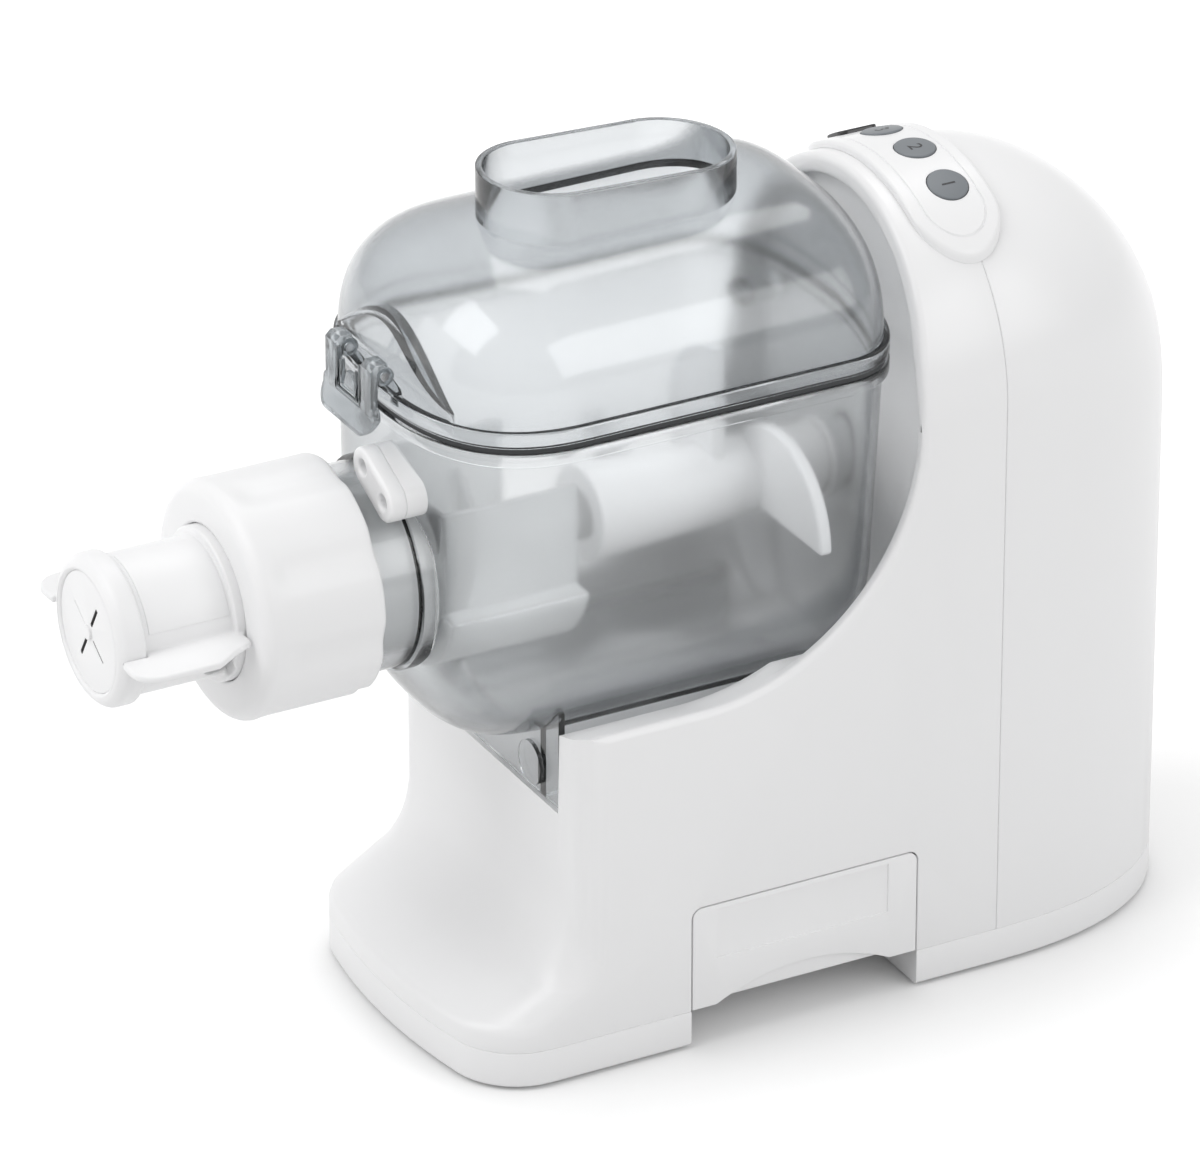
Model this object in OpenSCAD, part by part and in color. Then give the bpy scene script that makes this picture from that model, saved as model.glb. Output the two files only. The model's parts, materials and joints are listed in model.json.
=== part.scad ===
// Electric pasta maker: clear mixing bowl and lid on a tall motor tower, with a bayonet die in front.
// +X is the drawer side, -Y is the front with the die, +Z is up; millimetres.
// The origin lies under the middle of the whole length, on the surface that the feet stand on.

/* [Tower and column] */
// Overall width of the housing
body_w = 136; // [128:1:144]
// Height of the tower without its control pod
tower_h = 284.5; // [270:0.5:300]
// Top of the cradle's side walls
cradle_z = 129; // [124:1:132]
// Wall thickness of the mouldings
wall = 2.6; // [2:0.1:3.2]

/* [Bowl and lid] */
// Half width of the bowl at its rim
bowl_hw = 62.5; // [60:0.5:64]
// Height of the bowl's rim
rim_z = 238; // [230:1:246]
// Height of the lid's dome above its flange
dome_h = 47; // [40:1:52]
// Top of the feed chute at its front
chute_top = 311; // [304:1:320]

/* [Drive and die] */
// Height of the auger's axis
axis_z = 177.7; // [172:0.1:182]
// Outer radius of the locking ring
ring_r = 41.6; // [38:0.1:44]
// Radius of the die's end cap
cap_r = 26.5; // [25:0.1:27]

/* [Controls and drawer] */
// Radius of a push button
button_r = 7.2; // [6:0.1:8]
// How far a push button travels
button_travel = 1.2; // [0.8:0.1:1.5]
// Width of the drawer along the body
drawer_w = 88; // [80:1:90]

/* [Hidden] */
$fn = 48;

half_w = body_w / 2;
arch_z = tower_h - half_w;
base_top = 14.5;
base_bottom = 1.2;
foot_front = -94;
foot_corner = 26;
foot_turn = 10.5;
foot_levels = 14;
foot_wall = wall + 0.4;
column_y = -52;
column_corner = 10;
tower_y = 78.5;
tower_lean = [[240, 79.6], [262, 82.8], [290, 86.4]];
pocket_y = 90;
seam_y = 111;
rear_depth = 91.5;
rear_shoulder = 186;
cradle_r = 85;
cradle_drop = 5;
trough_hw = 50;
trough_z = 94;
pocket_hw = 61;
pocket_z = 132;
sweep_r = 36;
sweep_top = 65;
drawer_y = [-10, -10 + drawer_w + 1];
drawer_z = [base_top, 54.4];
tunnel_x = -54;

pod_y = 108.5;
pod_end = 16.5;
pod_reach = 32.7;
pod_t = 2.6;
button_angles = [69, 87.5, 106];
display_angle = 120;
display_size = [13, 15];
display_proud = 1.4;

bowl_bottom_z = 168;
bowl_bottom_r = 60;
cap_y = [-45, 50];
collar_r = 36;
collar_y = -140;
ring_y = [-157, -111.5];
die_y = -202.5;
cap_rear = -192.5;
die_r = 24.2;
die_bore = 21;
wing_w = 42.4;
trough_y = [-84, -33];
trough_r = 38;
trough_wall = 28.6;
trough_neck = 168;
trough_top = 205;
blade_r = 25.2;
shaft_socket_r = 8.3;
shaft_cone = [17, 12.5];
shaft_y = [-17, 73];
journal_r = 11;
journal_end = pocket_y - 0.8;
bush_r = 14;
coupling_y = 81;
coupling_r = 8;
// Places of the paddles along the shaft, each a quarter turn on from the last
paddle_y = [46, 30, 14];
paddle_t = 5;
paddle_r = 33;
paddle_middle = [21, -8];
lid_z = 240;
flange_t = 6;
clear_t = 2.4;
bowl_front = 49;
dome_front = 49.3;
rim_front = 50.5;
dome_rear = 31;
rim_rear = 33;
rim_out = 2;
plan_n = 2.6;
dome_n = 2.5;
alcove = [54, 20.8];
alcove_y = -87;
hinge_y = -98.7;
hinge_z = 254.8;
latch_hw = 16.6;
latch_gap = 9.2;
cheek = 1.4;
latch_face = -104.2;
ear_room = latch_hw - latch_gap - 2 * cheek;

drive_module = 1.25;
drive_teeth = 60;
idler_small = 14;
idler_big = 48;
pinion_teeth = 12;
idler_z = axis_z - drive_module * (drive_teeth + idler_small) / 2;
motor_z = idler_z - (idler_big + pinion_teeth) / 2;
gear_y = [100, 113];
plate_t = 3;
motor_y = [gear_y[1] + 1 + plate_t, gear_y[1] + 1 + plate_t + 52];
mount_x = [-34, 34];
mount_z = [126, 214];
pin_x = -48;
pin_z = 221;
gland_r = 7;
gland_z = 32;
stop_angle = 25;
stop_y = [-105, -98.6];
stop_out = 43.5;
chute_y = [-29, 16];
chute_r = 24;
chute_foot = 46;
chute_tilt = -2.6;

post_x = 56;
post_y = [-40, 99];
post_r = 5;
post_bottom = 6;
post_h = 40;
rib_t = 2.4;
rib_h = post_bottom + post_h - base_top;

// Longer than any cut has to run
far = 300;
// How far a cut or a joined solid runs past a face
lap = 1;

// Steps in the corners and in the bow of the foot's outline, and the turn of the sweep above it
corner_steps = 9;
bow_steps = 4;
sweep_turn = 65;
// Nose of the foot: how far back from its front and how high
foot_nose = [[0, 20.5], [0.9, 22.6], [3.5, 24.2]];
slope_end = 24;
foot_lap = 20;
// Squareness of the rear shell's plan, and of its profile
rear_n = 2.3;
rear_top_n = 2.2;
rear_wide_z = [60, 110, 150];

// Base screws: shank, head and their holes
base_screw_r = 1.5;
base_screw_l = 14;
base_head = [3, 1.6];
base_head_hole = [3.4, 3.2];
vent = [48, 3];
vent_y = 140;
vent_pitch = 7;
foot_r = 7;
foot_spots = [[-44, -76], [44, -76], [-40, 152], [40, 152]];

// Radii shared along the drive's axis
seal_r = 13;
bearing_r = 8;
shaft_r = 5;
axle_r = 3;
thread_r = 1.5;
pin_r = 3;
pin_hole_r = 3.2;
spacer_r = 4;

pod_skirt = 5;
pod_depth = 20;
button_gap = 0.35;
button_root = button_travel + 1.8;
display_corner = 3;
carrier_in = 8.5;
carrier_out = 6.5;
switch_side = 7;
board_t = 1.6;
control_size = [76, 26];
power_size = [80, 50];
gland_hole_r = 3.8;
gland_flange = 3;

motor_r = 33;
motor_bore = 23;
motor_shaft_r = 3;
motor_screw_x = [-24, 24];
motor_vents = 8;
motor_vent_r = 28;
gear_holes = 6;
fan_blades = 9;

skirt_y = [column_y + 1, column_y + 3.4];
skirt_x = trough_hw - 1.5;
rail_x = [-38, 34];
skirt_knob_x = [-30, 30];
collar_wall = 4.7;
neck_y = [-95.5, -90];
stop_hole_x = [-8, 8];
stop_r = 7;
screw_core_r = 9;
screw_y = [-150, -17];
flight_y = [-143, -31];
flight_turn = 990;

ring_nose = 6;
ring_inset = 5;
ring_mouth_r = 27.2;
flute_r = 14;
flute_depth = 1.4;
flutes = 8;
die_flange_y = [-151.3, -146];
slot_in = 3.4;
slot_l = 9.2;
ear_r = 2.6;
arm_r = 3.4;
hinge_r = 1.5;
tab_corner_x = 11.6;
drawer_corner = 4;
finger_cut = [34, -52];
finger_cut_r = 75;

// A prism along Y from a drawing in X and Z
module along_y(y0, y1) translate([0, y1, 0]) rotate([90, 0, 0]) linear_extrude(y1 - y0) children();

// A prism along X from a drawing in Y and Z
module along_x(x0, x1) translate([x0, 0, 0]) rotate([90, 0, 90]) linear_extrude(x1 - x0) children();

// A round bar along Y on the line x, z
module rod_y(r, y0, y1, x = 0, z = axis_z)
    translate([x, y1, z]) rotate([90, 0, 0]) cylinder(r = r, h = y1 - y0);

// A round bar along X on the line y, z
module rod_x(r, x0, x1, y, z) translate([x0, y, z]) rotate([0, 90, 0]) cylinder(r = r, h = x1 - x0);

// A solid through stacked rings that all have the same number of points
module loft(rings) {
    n = len(rings[0]);
    m = len(rings);
    polyhedron(
        points = [for (ring = rings) each ring],
        faces = concat(
            [[for (i = [0:n - 1]) i]],
            [[for (i = [n - 1:-1:0]) (m - 1) * n + i]],
            [for (j = [0:m - 2], i = [0:n - 1])
                [j * n + i, (j + 1) * n + i, (j + 1) * n + (i + 1) % n, j * n + (i + 1) % n]]));
}

function power(v, e) = sign(v) * pow(abs(v), e);

// A closed ring at height z: straight sides between two rounded ends
function pan_ring(hw, front, rear, z, n, count = 48) = [for (k = [0:count - 1])
    let (t = (k + 0.5) * 360 / count, s = power(sin(t), 2 / n))
    [hw * power(cos(t), 2 / n), s > 0 ? cap_y[1] + rear * s : cap_y[0] + front * s, z]];

/* Casing */

// Arch of the tower, drawn in X and Z
module arch(hw, bottom, top = arch_z) {
    translate([-hw, bottom]) square([2 * hw, top - bottom]);
    translate([0, top]) circle(hw, $fn = 96);
}

// Share of the way down from the column to the foot, and the plan's corner and turn there
function flare(z) = pow(min(1, max(0, (sweep_top - z) / (sweep_top - slope_end))), 1.5);

// Open outline of the front: a shallow bow between two round corners, t inside the surface
function front_outline(front, share, t) = let (
    r = column_corner + (foot_corner - column_corner) * share, turn = foot_turn * share,
    w = half_w - r + r * sin(turn), bow = w * tan(turn) / 2, cy = front + bow + r * cos(turn))
    concat([for (k = [0:corner_steps]) let (a = 180 + k * (90 - turn) / corner_steps)
                [-half_w + r + (r - t) * cos(a), cy + (r - t) * sin(a)]],
           [for (k = [-bow_steps:bow_steps]) let (q = k / (bow_steps + 1)) [q * w, front + bow * q * q + t]],
           [for (k = [0:corner_steps]) let (a = 270 + turn + k * (90 - turn) / corner_steps)
                [half_w - r + (r - t) * cos(a), cy + (r - t) * sin(a)]]);

// Side profile of the foot from its base up to the column: steep front, short slope, hollow sweep
foot_profile = concat(
    [[foot_front, base_top]], [for (p = foot_nose) [foot_front + p[0], p[1]]],
    [for (k = [1:foot_levels]) let (a = -sweep_turn + k * sweep_turn / foot_levels)
        [column_y - sweep_r + sweep_r * cos(a), sweep_top + sweep_r * sin(a)]]);

function foot_rings(t) = [for (k = [0:len(foot_profile) - 1])
    let (p = foot_profile[k], z = t > 0 ? (k == 0 ? base_top - 1 : p[1] - t) : p[1])
    [for (q = concat(front_outline(p[0], flare(p[1]), t),
                     [[half_w - t, column_y + foot_lap], [-half_w + t, column_y + foot_lap]]))
        [q[0], q[1], z]]];

module column_plan(t = 0) {
    for (s = [-1, 1])
        translate([s * (half_w - column_corner), column_y + column_corner]) circle(column_corner - t);
    translate([-half_w + column_corner, column_y + t]) square([body_w - 2 * column_corner, 30]);
    translate([-half_w + t, column_y + column_corner])
        square([body_w - 2 * t, seam_y - column_y - column_corner]);
}

// Half ellipse behind the seam, a little squarer than a true one
module rear_plan(t = 0) {
    polygon([for (k = [0:36]) let (a = k * 5)
        [(half_w - t) * power(cos(a), 2 / rear_n), seam_y + (rear_depth - t) * power(sin(a), 2 / rear_n)]]);
}

module base_plan(t = 0) {
    polygon(concat(front_outline(foot_front, 1, t), [[half_w - t, seam_y], [-half_w + t, seam_y]]));
    rear_plan(t);
}

// Side view of the column and tower, with the hollow corner behind the bowl
module body_side_view() {
    translate([column_y, base_top]) square([seam_y - column_y, cradle_z - base_top]);
    polygon(concat([[tower_y, base_top], [tower_y, cradle_z + cradle_r]], [for (p = tower_lean) [p[1], p[0]]],
                   [[seam_y, tower_lean[2][0]], [seam_y, base_top]]));
    difference() {
        translate([tower_y - cradle_r, cradle_z - 1]) square([cradle_r + 1, cradle_r + 1]);
        translate([tower_y - cradle_r, cradle_z + cradle_r]) circle(cradle_r, $fn = 96);
    }
}

module body_block() {
    intersection() {
        along_y(column_y, seam_y) arch(half_w, base_top);
        along_x(-half_w - lap, half_w + lap) body_side_view();
        linear_extrude(far) column_plan();
    }
}

// Space for the bowl: a trough over the column and a pocket in the tower's front
module bowl_space() {
    along_y(column_y - 50, pocket_y) translate([-trough_hw, trough_z]) square([2 * trough_hw, 60]);
    along_y(column_y - 50, pocket_y) arch(pocket_hw, pocket_z);
}

module housing_void() {
    translate([0, 0, base_top - 1]) linear_extrude(trough_z - wall - base_top + 1) column_plan(wall);
    for (x = [trough_hw + wall, -half_w + wall]) translate([x, column_y + column_corner, base_top])
        cube([half_w - trough_hw - 2 * wall, pocket_y - column_y, cradle_z - cradle_drop - wall - base_top]);
    along_y(pocket_y + wall, seam_y + 1) arch(half_w - wall, base_top - 1);
    loft(foot_rings(foot_wall));
}

// Slope from the outer edge of the cradle down to the trough, straight and then round with the corner
module cradle_slope() for (s = [0, 1]) mirror([s, 0, 0]) {
    along_y(column_y - 1, tower_y - cradle_r)
        polygon([[trough_hw - 1, cradle_z - cradle_drop], [half_w - 2, cradle_z],
                 [trough_hw - 1, cradle_z + 1]]);
    translate([0, tower_y - cradle_r, cradle_z + cradle_r]) rotate([0, 90, 0]) rotate_extrude($fn = 96)
        polygon([[cradle_r - 1, trough_hw - 1], [cradle_r + cradle_drop, trough_hw - 1],
                 [cradle_r, half_w - 2]]);
}

// Stadium under the control pod, cut out of both shells
module pod_plan(t = 0) {
    for (s = [-1, 1]) translate([s * pod_reach, pod_y]) circle(pod_end - t);
    translate([-pod_reach, pod_y - pod_end + t]) square([2 * pod_reach, 2 * (pod_end - t)]);
}

module pod_window() translate([0, 0, arch_z]) linear_extrude(far) pod_plan(pod_skirt);

module screw_posts() {
    for (x = [-post_x, post_x], y = post_y) {
        translate([x, y, post_bottom]) cylinder(r = post_r, h = post_h);
        translate([x > 0 ? x : -half_w + 1, y - rib_t / 2, base_top])
            cube([half_w - 1 - post_x, rib_t, rib_h]);
    }
}

module board_ledges() for (x = [-14, 8]) translate([x, pocket_y + 1, arch_z + 12]) cube([6, 19, 8]);

module front_housing() color("white") difference() {
    union() {
        board_ledges();
        difference() {
            union() {
                body_block();
                loft(foot_rings(0));
            }
            bowl_space();
            housing_void();
            cradle_slope();
        }
        screw_posts();
    }
    for (x = [-post_x, post_x], y = post_y)
        translate([x, y, post_bottom - lap]) cylinder(r = base_screw_r + 0.1, h = base_screw_l);
    rod_y(seal_r, pocket_y - 1, pocket_y + wall + 1);
    along_x(half_w - 8, half_w + 2) drawer_plate(0);
    rod_y(pin_hole_r, pocket_y - 1, pocket_y + wall + 1, pin_x, pin_z);
    pod_window();
    for (x = mount_x, z = mount_z) rod_y(thread_r, pocket_y + 1, pocket_y + wall + 1, x, z);
}

// Rear shell: every level is a half ellipse that shrinks towards the top
function rear_ring(z, t) = let (
    up = max(0, z - arch_z), top = half_w - t,
    hw = sqrt(max(1, top * top - up * up)),
    lift = max(0, z - rear_shoulder) / (tower_h - t - rear_shoulder),
    depth = (rear_depth - t) * pow(max(0.0004, 1 - pow(lift, rear_top_n)), 1 / rear_top_n))
    concat([for (k = [0:24]) let (a = k * 7.5)
               [hw * power(cos(a), 2 / rear_n), seam_y + depth * power(sin(a), 2 / rear_n), z]],
           t > 0 ? [[-hw, seam_y - 4, z], [hw, seam_y - 4, z]] : []);

function rear_levels(t, bottom) = concat([bottom], rear_wide_z,
    [for (k = [0:5]) rear_shoulder + (arch_z - rear_shoulder) * k / 6],
    [for (k = [0:13]) arch_z + (half_w - t) * sin(k * 87 / 13)]);

module rear_cover() color("white") difference() {
    loft([for (z = rear_levels(0, base_top)) rear_ring(z, 0)]);
    loft([for (z = rear_levels(wall, base_top - 1)) rear_ring(z, wall)]);
    pod_window();
    rod_y(gland_r, seam_y + rear_depth - 20, seam_y + rear_depth + 5, 0, gland_z);
}

module base_tray() color("white") difference() {
    union() {
        difference() {
            translate([0, 0, base_bottom]) linear_extrude(base_top - base_bottom) base_plan();
            translate([0, 0, base_bottom + wall]) linear_extrude(20) base_plan(wall);
        }
        translate([tunnel_x - wall, drawer_y[0] - wall, base_bottom])
            cube([half_w - tunnel_x, drawer_w + 1 + 2 * wall, base_top - base_bottom]);
        for (x = [-post_x, post_x], y = post_y)
            translate([x, y, base_bottom]) cylinder(r = post_r, h = post_bottom - base_bottom);
    }
    translate([tunnel_x, drawer_y[0], 0]) cube([200, drawer_w + 1, 20]);
    for (x = [-post_x, post_x], y = post_y) translate([x, y, 0]) {
        cylinder(r = base_head_hole[0], h = base_head_hole[1]);
        cylinder(r = base_screw_r + 0.2, h = 10);
    }
    for (k = [-4:4]) translate([-vent[0] / 2, vent_y + k * vent_pitch, 0]) cube([vent[0], vent[1], 10]);
}

module rubber_feet() color("dimgray") for (p = foot_spots)
    translate([p[0], p[1], 0]) cylinder(r = foot_r, h = base_bottom);

module base_screws() color("silver") for (x = [-post_x, post_x], y = post_y) translate([x, y, 0]) {
    translate([0, 0, base_head[1]]) cylinder(r = base_head[0], h = base_head[1]);
    translate([0, 0, 3]) cylinder(r = base_screw_r, h = base_screw_l);
}

/* Controls */

// A block that stands on the arch at an angle measured up from +X
module on_arch(angle) translate([0, seam_y, arch_z]) rotate([0, 90 - angle, 0]) children();

module arch_shell(r0, r1, y0, y1) difference() {
    rod_y(r1, y0, y1, 0, arch_z, $fn = 96);
    rod_y(r0, y0 - 1, y1 + 1, 0, arch_z, $fn = 96);
}

module control_pod() color("white") difference() {
    union() {
        intersection() {
            arch_shell(half_w + 0.05, half_w + pod_t, pod_y - pod_depth, pod_y + pod_depth);
            translate([0, 0, arch_z]) linear_extrude(far) pod_plan();
        }
        intersection() {
            arch_shell(half_w - 2, half_w + pod_t, pod_y - pod_depth, pod_y + pod_depth);
            translate([0, 0, arch_z]) linear_extrude(far) pod_plan(pod_skirt + 0.3);
        }
    }
    for (a = button_angles) on_arch(a) cylinder(r = button_r + button_gap, h = 90);
    display_block(half_w - 10);
}

// Rounded block of the display, from radius low outwards
module display_block(low) on_arch(display_angle) translate([0, pod_y - seam_y, low]) linear_extrude(30) {
    for (x = [-1, 1], y = [-1, 1])
        translate([x * (display_size[0] / 2 - display_corner), y * (display_size[1] / 2 - display_corner)])
            circle(display_corner);
    square([display_size[0] - 2 * display_corner, display_size[1]], center = true);
    square([display_size[0], display_size[1] - 2 * display_corner], center = true);
}

module display_window() color("black") intersection() {
    arch_shell(half_w - 2, half_w + pod_t + display_proud, pod_y - pod_depth, pod_y + pod_depth);
    display_block(half_w - 10);
}

module push_button(angle) color("gray") on_arch(angle) {
    translate([0, 0, half_w - button_root]) cylinder(r = button_r, h = button_root + pod_t + 0.4);
}

module button_1() push_button(button_angles[0]);
module button_2() push_button(button_angles[1]);
module button_3() push_button(button_angles[2]);

module switch_carrier() color("gainsboro") intersection() {
    union() {
        arch_shell(half_w - carrier_in, half_w - carrier_out, pocket_y + wall, seam_y + 10);
        arch_shell(half_w - carrier_in, half_w - wall, pocket_y + wall, pocket_y + wall + 2);
    }
    translate([-46, pocket_y, arch_z + 10]) cube([92, 40, 80]);
}

module push_switches() color("dimgray") for (a = button_angles) on_arch(a) {
    translate([-switch_side / 2, -switch_side / 2, half_w - carrier_out])
        cube([switch_side, switch_side, 1.5]);
    translate([0, 0, half_w - 5.2]) cylinder(r = 1.7, h = 0.5);
}

module control_board() color("seagreen") {
    translate([-control_size[0] / 2, seam_y - 12, arch_z + 20])
        cube([control_size[0], control_size[1], board_t]);
    translate([-12, seam_y - 8, arch_z + 20 + board_t]) cube([18, 14, 3]);
}

module power_board() color("seagreen") {
    translate([-power_size[0] / 2, 116, 20]) cube([power_size[0], power_size[1], board_t]);
    translate([-30, 122, 21.5]) cube([26, 22, 20]);
    translate([6, 124, 21.5]) cube([16, 20, 14]);
    translate([30, 130, 21.5]) cylinder(r = 6, h = 22);
    for (x = [-36, 36], y = [120, 162]) translate([x, y, base_bottom + wall]) cylinder(r = 2.5, h = 16.3);
}

module cord_gland() color("gainsboro") difference() {
    union() {
        rod_y(gland_r, seam_y + rear_depth - 14, seam_y + rear_depth - 0.3, 0, gland_z);
        rod_y(gland_r + gland_flange, seam_y + rear_depth - 6.2, seam_y + rear_depth - 3.2, 0, gland_z);
    }
    rod_y(gland_hole_r, seam_y + rear_depth - 20, seam_y + rear_depth + 1, 0, gland_z);
}

/* Drive */

module gear_plate(y) difference() {
    along_y(y, y + plate_t) translate([-40, 84]) square([80, 136]);
    rod_y(bearing_r, y - 1, y + plate_t + 1);
    rod_y(axle_r, y - 1, y + plate_t + 1, 0, idler_z);
}

module gear_plate_front() color("silver") difference() {
    union() {
        gear_plate(gear_y[0] - 4);
        for (x = mount_x, z = mount_z) rod_y(spacer_r, pocket_y + wall, gear_y[0] - 3.5, x, z);
    }
    for (x = mount_x, z = mount_z) rod_y(thread_r, pocket_y, gear_y[0], x, z);
}

module gear_plate_rear() color("silver") difference() {
    union() {
        gear_plate(gear_y[1] + 1);
        for (x = mount_x, z = mount_z) rod_y(spacer_r, gear_y[0] - 1, gear_y[1] + 1.5, x, z);
    }
    for (x = mount_x, z = mount_z) rod_y(thread_r, gear_y[0] - 2, gear_y[1] + 10, x, z);
    rod_y(12, gear_y[1], gear_y[1] + 10, 0, motor_z);
    for (x = motor_screw_x) rod_y(2.2, gear_y[1], gear_y[1] + 10, x, motor_z);
}

module plate_screws() color("silver") for (x = mount_x, z = mount_z) {
    rod_y(thread_r, pocket_y + 1.2, motor_y[0], x, z);
    rod_y(2 * thread_r, motor_y[0], motor_y[0] + 2, x, z);
}

module drive_bearings() color("silver") for (y = [gear_y[0] - 4, gear_y[1] + 1]) difference() {
    rod_y(bearing_r, y, y + plate_t);
    rod_y(shaft_r + 0.05, y - 1, y + plate_t + 1);
}

module shaft_seal() color("dimgray") difference() {
    union() {
        rod_y(seal_r, pocket_y, pocket_y + wall);
        rod_y(seal_r + 2, pocket_y + wall, pocket_y + wall + 1.5);
    }
    rod_y(8.6, pocket_y - 1, pocket_y + wall + 3);
}

// One tooth: share of a step to each side, and height over the pitch circle in modules
tooth = [[-0.30, -1.15], [-0.12, 0.95], [0.12, 0.95], [0.30, -1.15]];

// Straight-flanked spur gear in X and Z, turned by phase degrees; a tooth points up at phase 0
module spur_gear(teeth, mod, y0, y1, z, phase, bore) {
    pitch = mod * teeth / 2;
    step = 360 / teeth;
    translate([0, y1, z]) rotate([90, 0, 0]) linear_extrude(y1 - y0) difference() {
        rotate(90 + phase) polygon([for (k = [0:teeth - 1], p = tooth)
            let (a = (k + p[0]) * step, r = pitch + p[1] * mod) [r * cos(a), r * sin(a)]]);
        circle(bore);
    }
}

module drive_shaft() color("silver") {
    difference() {
        rod_y(shaft_r, coupling_y + 2, 119.5);
        rod_y(2, 100, 130);
    }
    rod_y(8.5, journal_end + 0.4, 94.6);
    translate([0, pocket_y, axis_z]) rotate([90, 0, 0])
        cylinder(r = coupling_r, h = pocket_y - coupling_y, $fn = 6);
}

module drive_gear() color("gainsboro") difference() {
    union() {
        spur_gear(drive_teeth, drive_module, gear_y[0] + 0.5, gear_y[0] + 6.5, axis_z, 0, shaft_r);
        rod_y(9, gear_y[0] + 0.2, gear_y[1] - 0.2);
    }
    rod_y(shaft_r, gear_y[0] - 1, gear_y[1] + 1);
    for (k = [0:gear_holes - 1]) let (a = k * 360 / gear_holes)
        translate([24 * cos(a), 120, axis_z + 24 * sin(a)])
        rotate([90, 0, 0]) cylinder(r = 6.5, h = 30);
}

module idler_gear() color("gainsboro") {
    spur_gear(idler_small, drive_module, gear_y[0] + 0.3, gear_y[0] + 7, idler_z, 180 / idler_small,
              axle_r + 0.05);
    spur_gear(idler_big, 1, gear_y[0] + 7, gear_y[1] - 0.5, idler_z, 0, axle_r + 0.05);
}

module idler_axle() color("silver") {
    rod_y(axle_r, gear_y[0] - 4, gear_y[1] + 1 + plate_t, 0, idler_z);
    rod_y(4.5, gear_y[0] - 5.5, gear_y[0] - 4, 0, idler_z);
}

module motor_pinion() color("gold") {
    spur_gear(pinion_teeth, 1, gear_y[0] + 7.2, gear_y[1] - 0.3, motor_z, 180 / pinion_teeth, motor_shaft_r);
}

module motor_case() color("silver") difference() {
    rod_y(motor_r, motor_y[0], motor_y[1], 0, motor_z);
    rod_y(motor_bore, motor_y[0] + 6, motor_y[1] - 4, 0, motor_z);
    rod_y(motor_shaft_r + 0.05, motor_y[0] - 1, motor_y[1] + 1, 0, motor_z);
    for (x = motor_screw_x) rod_y(2, motor_y[0] - 1, motor_y[0] + 5, x, motor_z);
    for (k = [0:motor_vents - 1]) let (a = (k + 0.5) * 360 / motor_vents)
        translate([motor_vent_r * cos(a), motor_y[1] + 1, motor_z + motor_vent_r * sin(a)])
        rotate([90, 0, 0]) cylinder(r = 3, h = 30);
}

module motor_screws() color("silver") for (x = motor_screw_x) {
    rod_y(1.9, gear_y[1] - 0.5, motor_y[0] + 4.5, x, motor_z);
    rod_y(3.6, gear_y[1] - 0.7, gear_y[1] + 1, x, motor_z);
}

module motor_shaft() color("silver") rod_y(motor_shaft_r, gear_y[0] + 7, motor_y[1] + 13, 0, motor_z);

module motor_rotor() color("peru") difference() {
    union() {
        rod_y(21, motor_y[0] + 14, motor_y[1] - 12, 0, motor_z);
        rod_y(11, motor_y[0] + 8, motor_y[1] - 6, 0, motor_z);
    }
    rod_y(motor_shaft_r, motor_y[0], motor_y[1], 0, motor_z);
}

module cooling_fan() color("black") difference() {
    union() {
        rod_y(9, motor_y[1] + 2, motor_y[1] + 11, 0, motor_z);
        for (k = [0:fan_blades - 1])
            translate([0, motor_y[1] + 6.5, motor_z]) rotate([0, k * 360 / fan_blades, 0])
            translate([16, 0, 0]) rotate([35, 0, 0]) cube([24, 1.6, 9], center = true);
    }
    rod_y(motor_shaft_r, motor_y[1], motor_y[1] + 20, 0, motor_z);
}

module interlock_switch() color("black") difference() {
    translate([pin_x - 10, pocket_y + wall, pin_z - 8]) cube([17, 14, 16]);
    rod_y(pin_hole_r, pocket_y, pocket_y + wall + 9, pin_x, pin_z);
}

module interlock_pin() color("dimgray") {
    rod_y(pin_r, pocket_y - 3, pocket_y + wall + 5, pin_x, pin_z);
}

/* Bowl */

// Inset t moves every wall inwards; the round bottom is built from rings of growing width
function bowl_ring(z, t) = let (
    drop = max(0, bowl_bottom_z - z), low = bowl_bottom_r - t,
    grow = max(0, z - bowl_bottom_z) / (rim_z - bowl_bottom_z),
    hw = drop > 0 ? sqrt(max(4, low * low - drop * drop)) : low + (bowl_hw - bowl_bottom_r) * grow,
    sink = drop / low,
    front = bowl_front * pow(max(0.02, 1 - pow(sink, 2.4)), 1 / 2.4) - t,
    rear = (27 + 4 * grow) * pow(max(0.02, 1 - pow(sink, 2.6)), 1 / 2.6) - t)
    pan_ring(hw, max(2, front), max(2, rear), z, plan_n);

function bowl_levels(t, top) =
    concat([for (k = [0:9]) bowl_bottom_z - (bowl_bottom_r - t) * cos(8 + k * 82 / 9)],
           [bowl_bottom_z + 30, top]);

module bowl_shape(t, top) loft([for (z = bowl_levels(t, top)) bowl_ring(z, t)]);

module mixing_bowl() color("lightslategray", 0.5) difference() {
    union() {
        bowl_shape(0, rim_z);
        loft([for (z = [rim_z - 5, rim_z]) pan_ring(bowl_hw + rim_out, rim_front, rim_rear, z, plan_n)]);
        rod_y(collar_r + 1.5, neck_y[0], neck_y[1]);
        rod_y(5, 66, pocket_y - 3.3, pin_x, pin_z);
        stop_plate_at() translate([-15, stop_y[1], -7]) cube([30, 8, 14]);
        along_y(skirt_y[0], skirt_y[1]) translate([-skirt_x, trough_z + 1]) square([2 * skirt_x, 36]);
        for (x = rail_x) translate([x, column_y + 2, trough_z + 0.4]) cube([4, 110, 40]);
        for (x = skirt_knob_x) rod_y(8, column_y - 0.5, column_y + 2, x, 104.5);
    }
    bowl_shape(clear_t, rim_z + 1);
    rod_y(collar_r - collar_wall, -125, -80);
    rod_y(bush_r, 60, 95);
}

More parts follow.
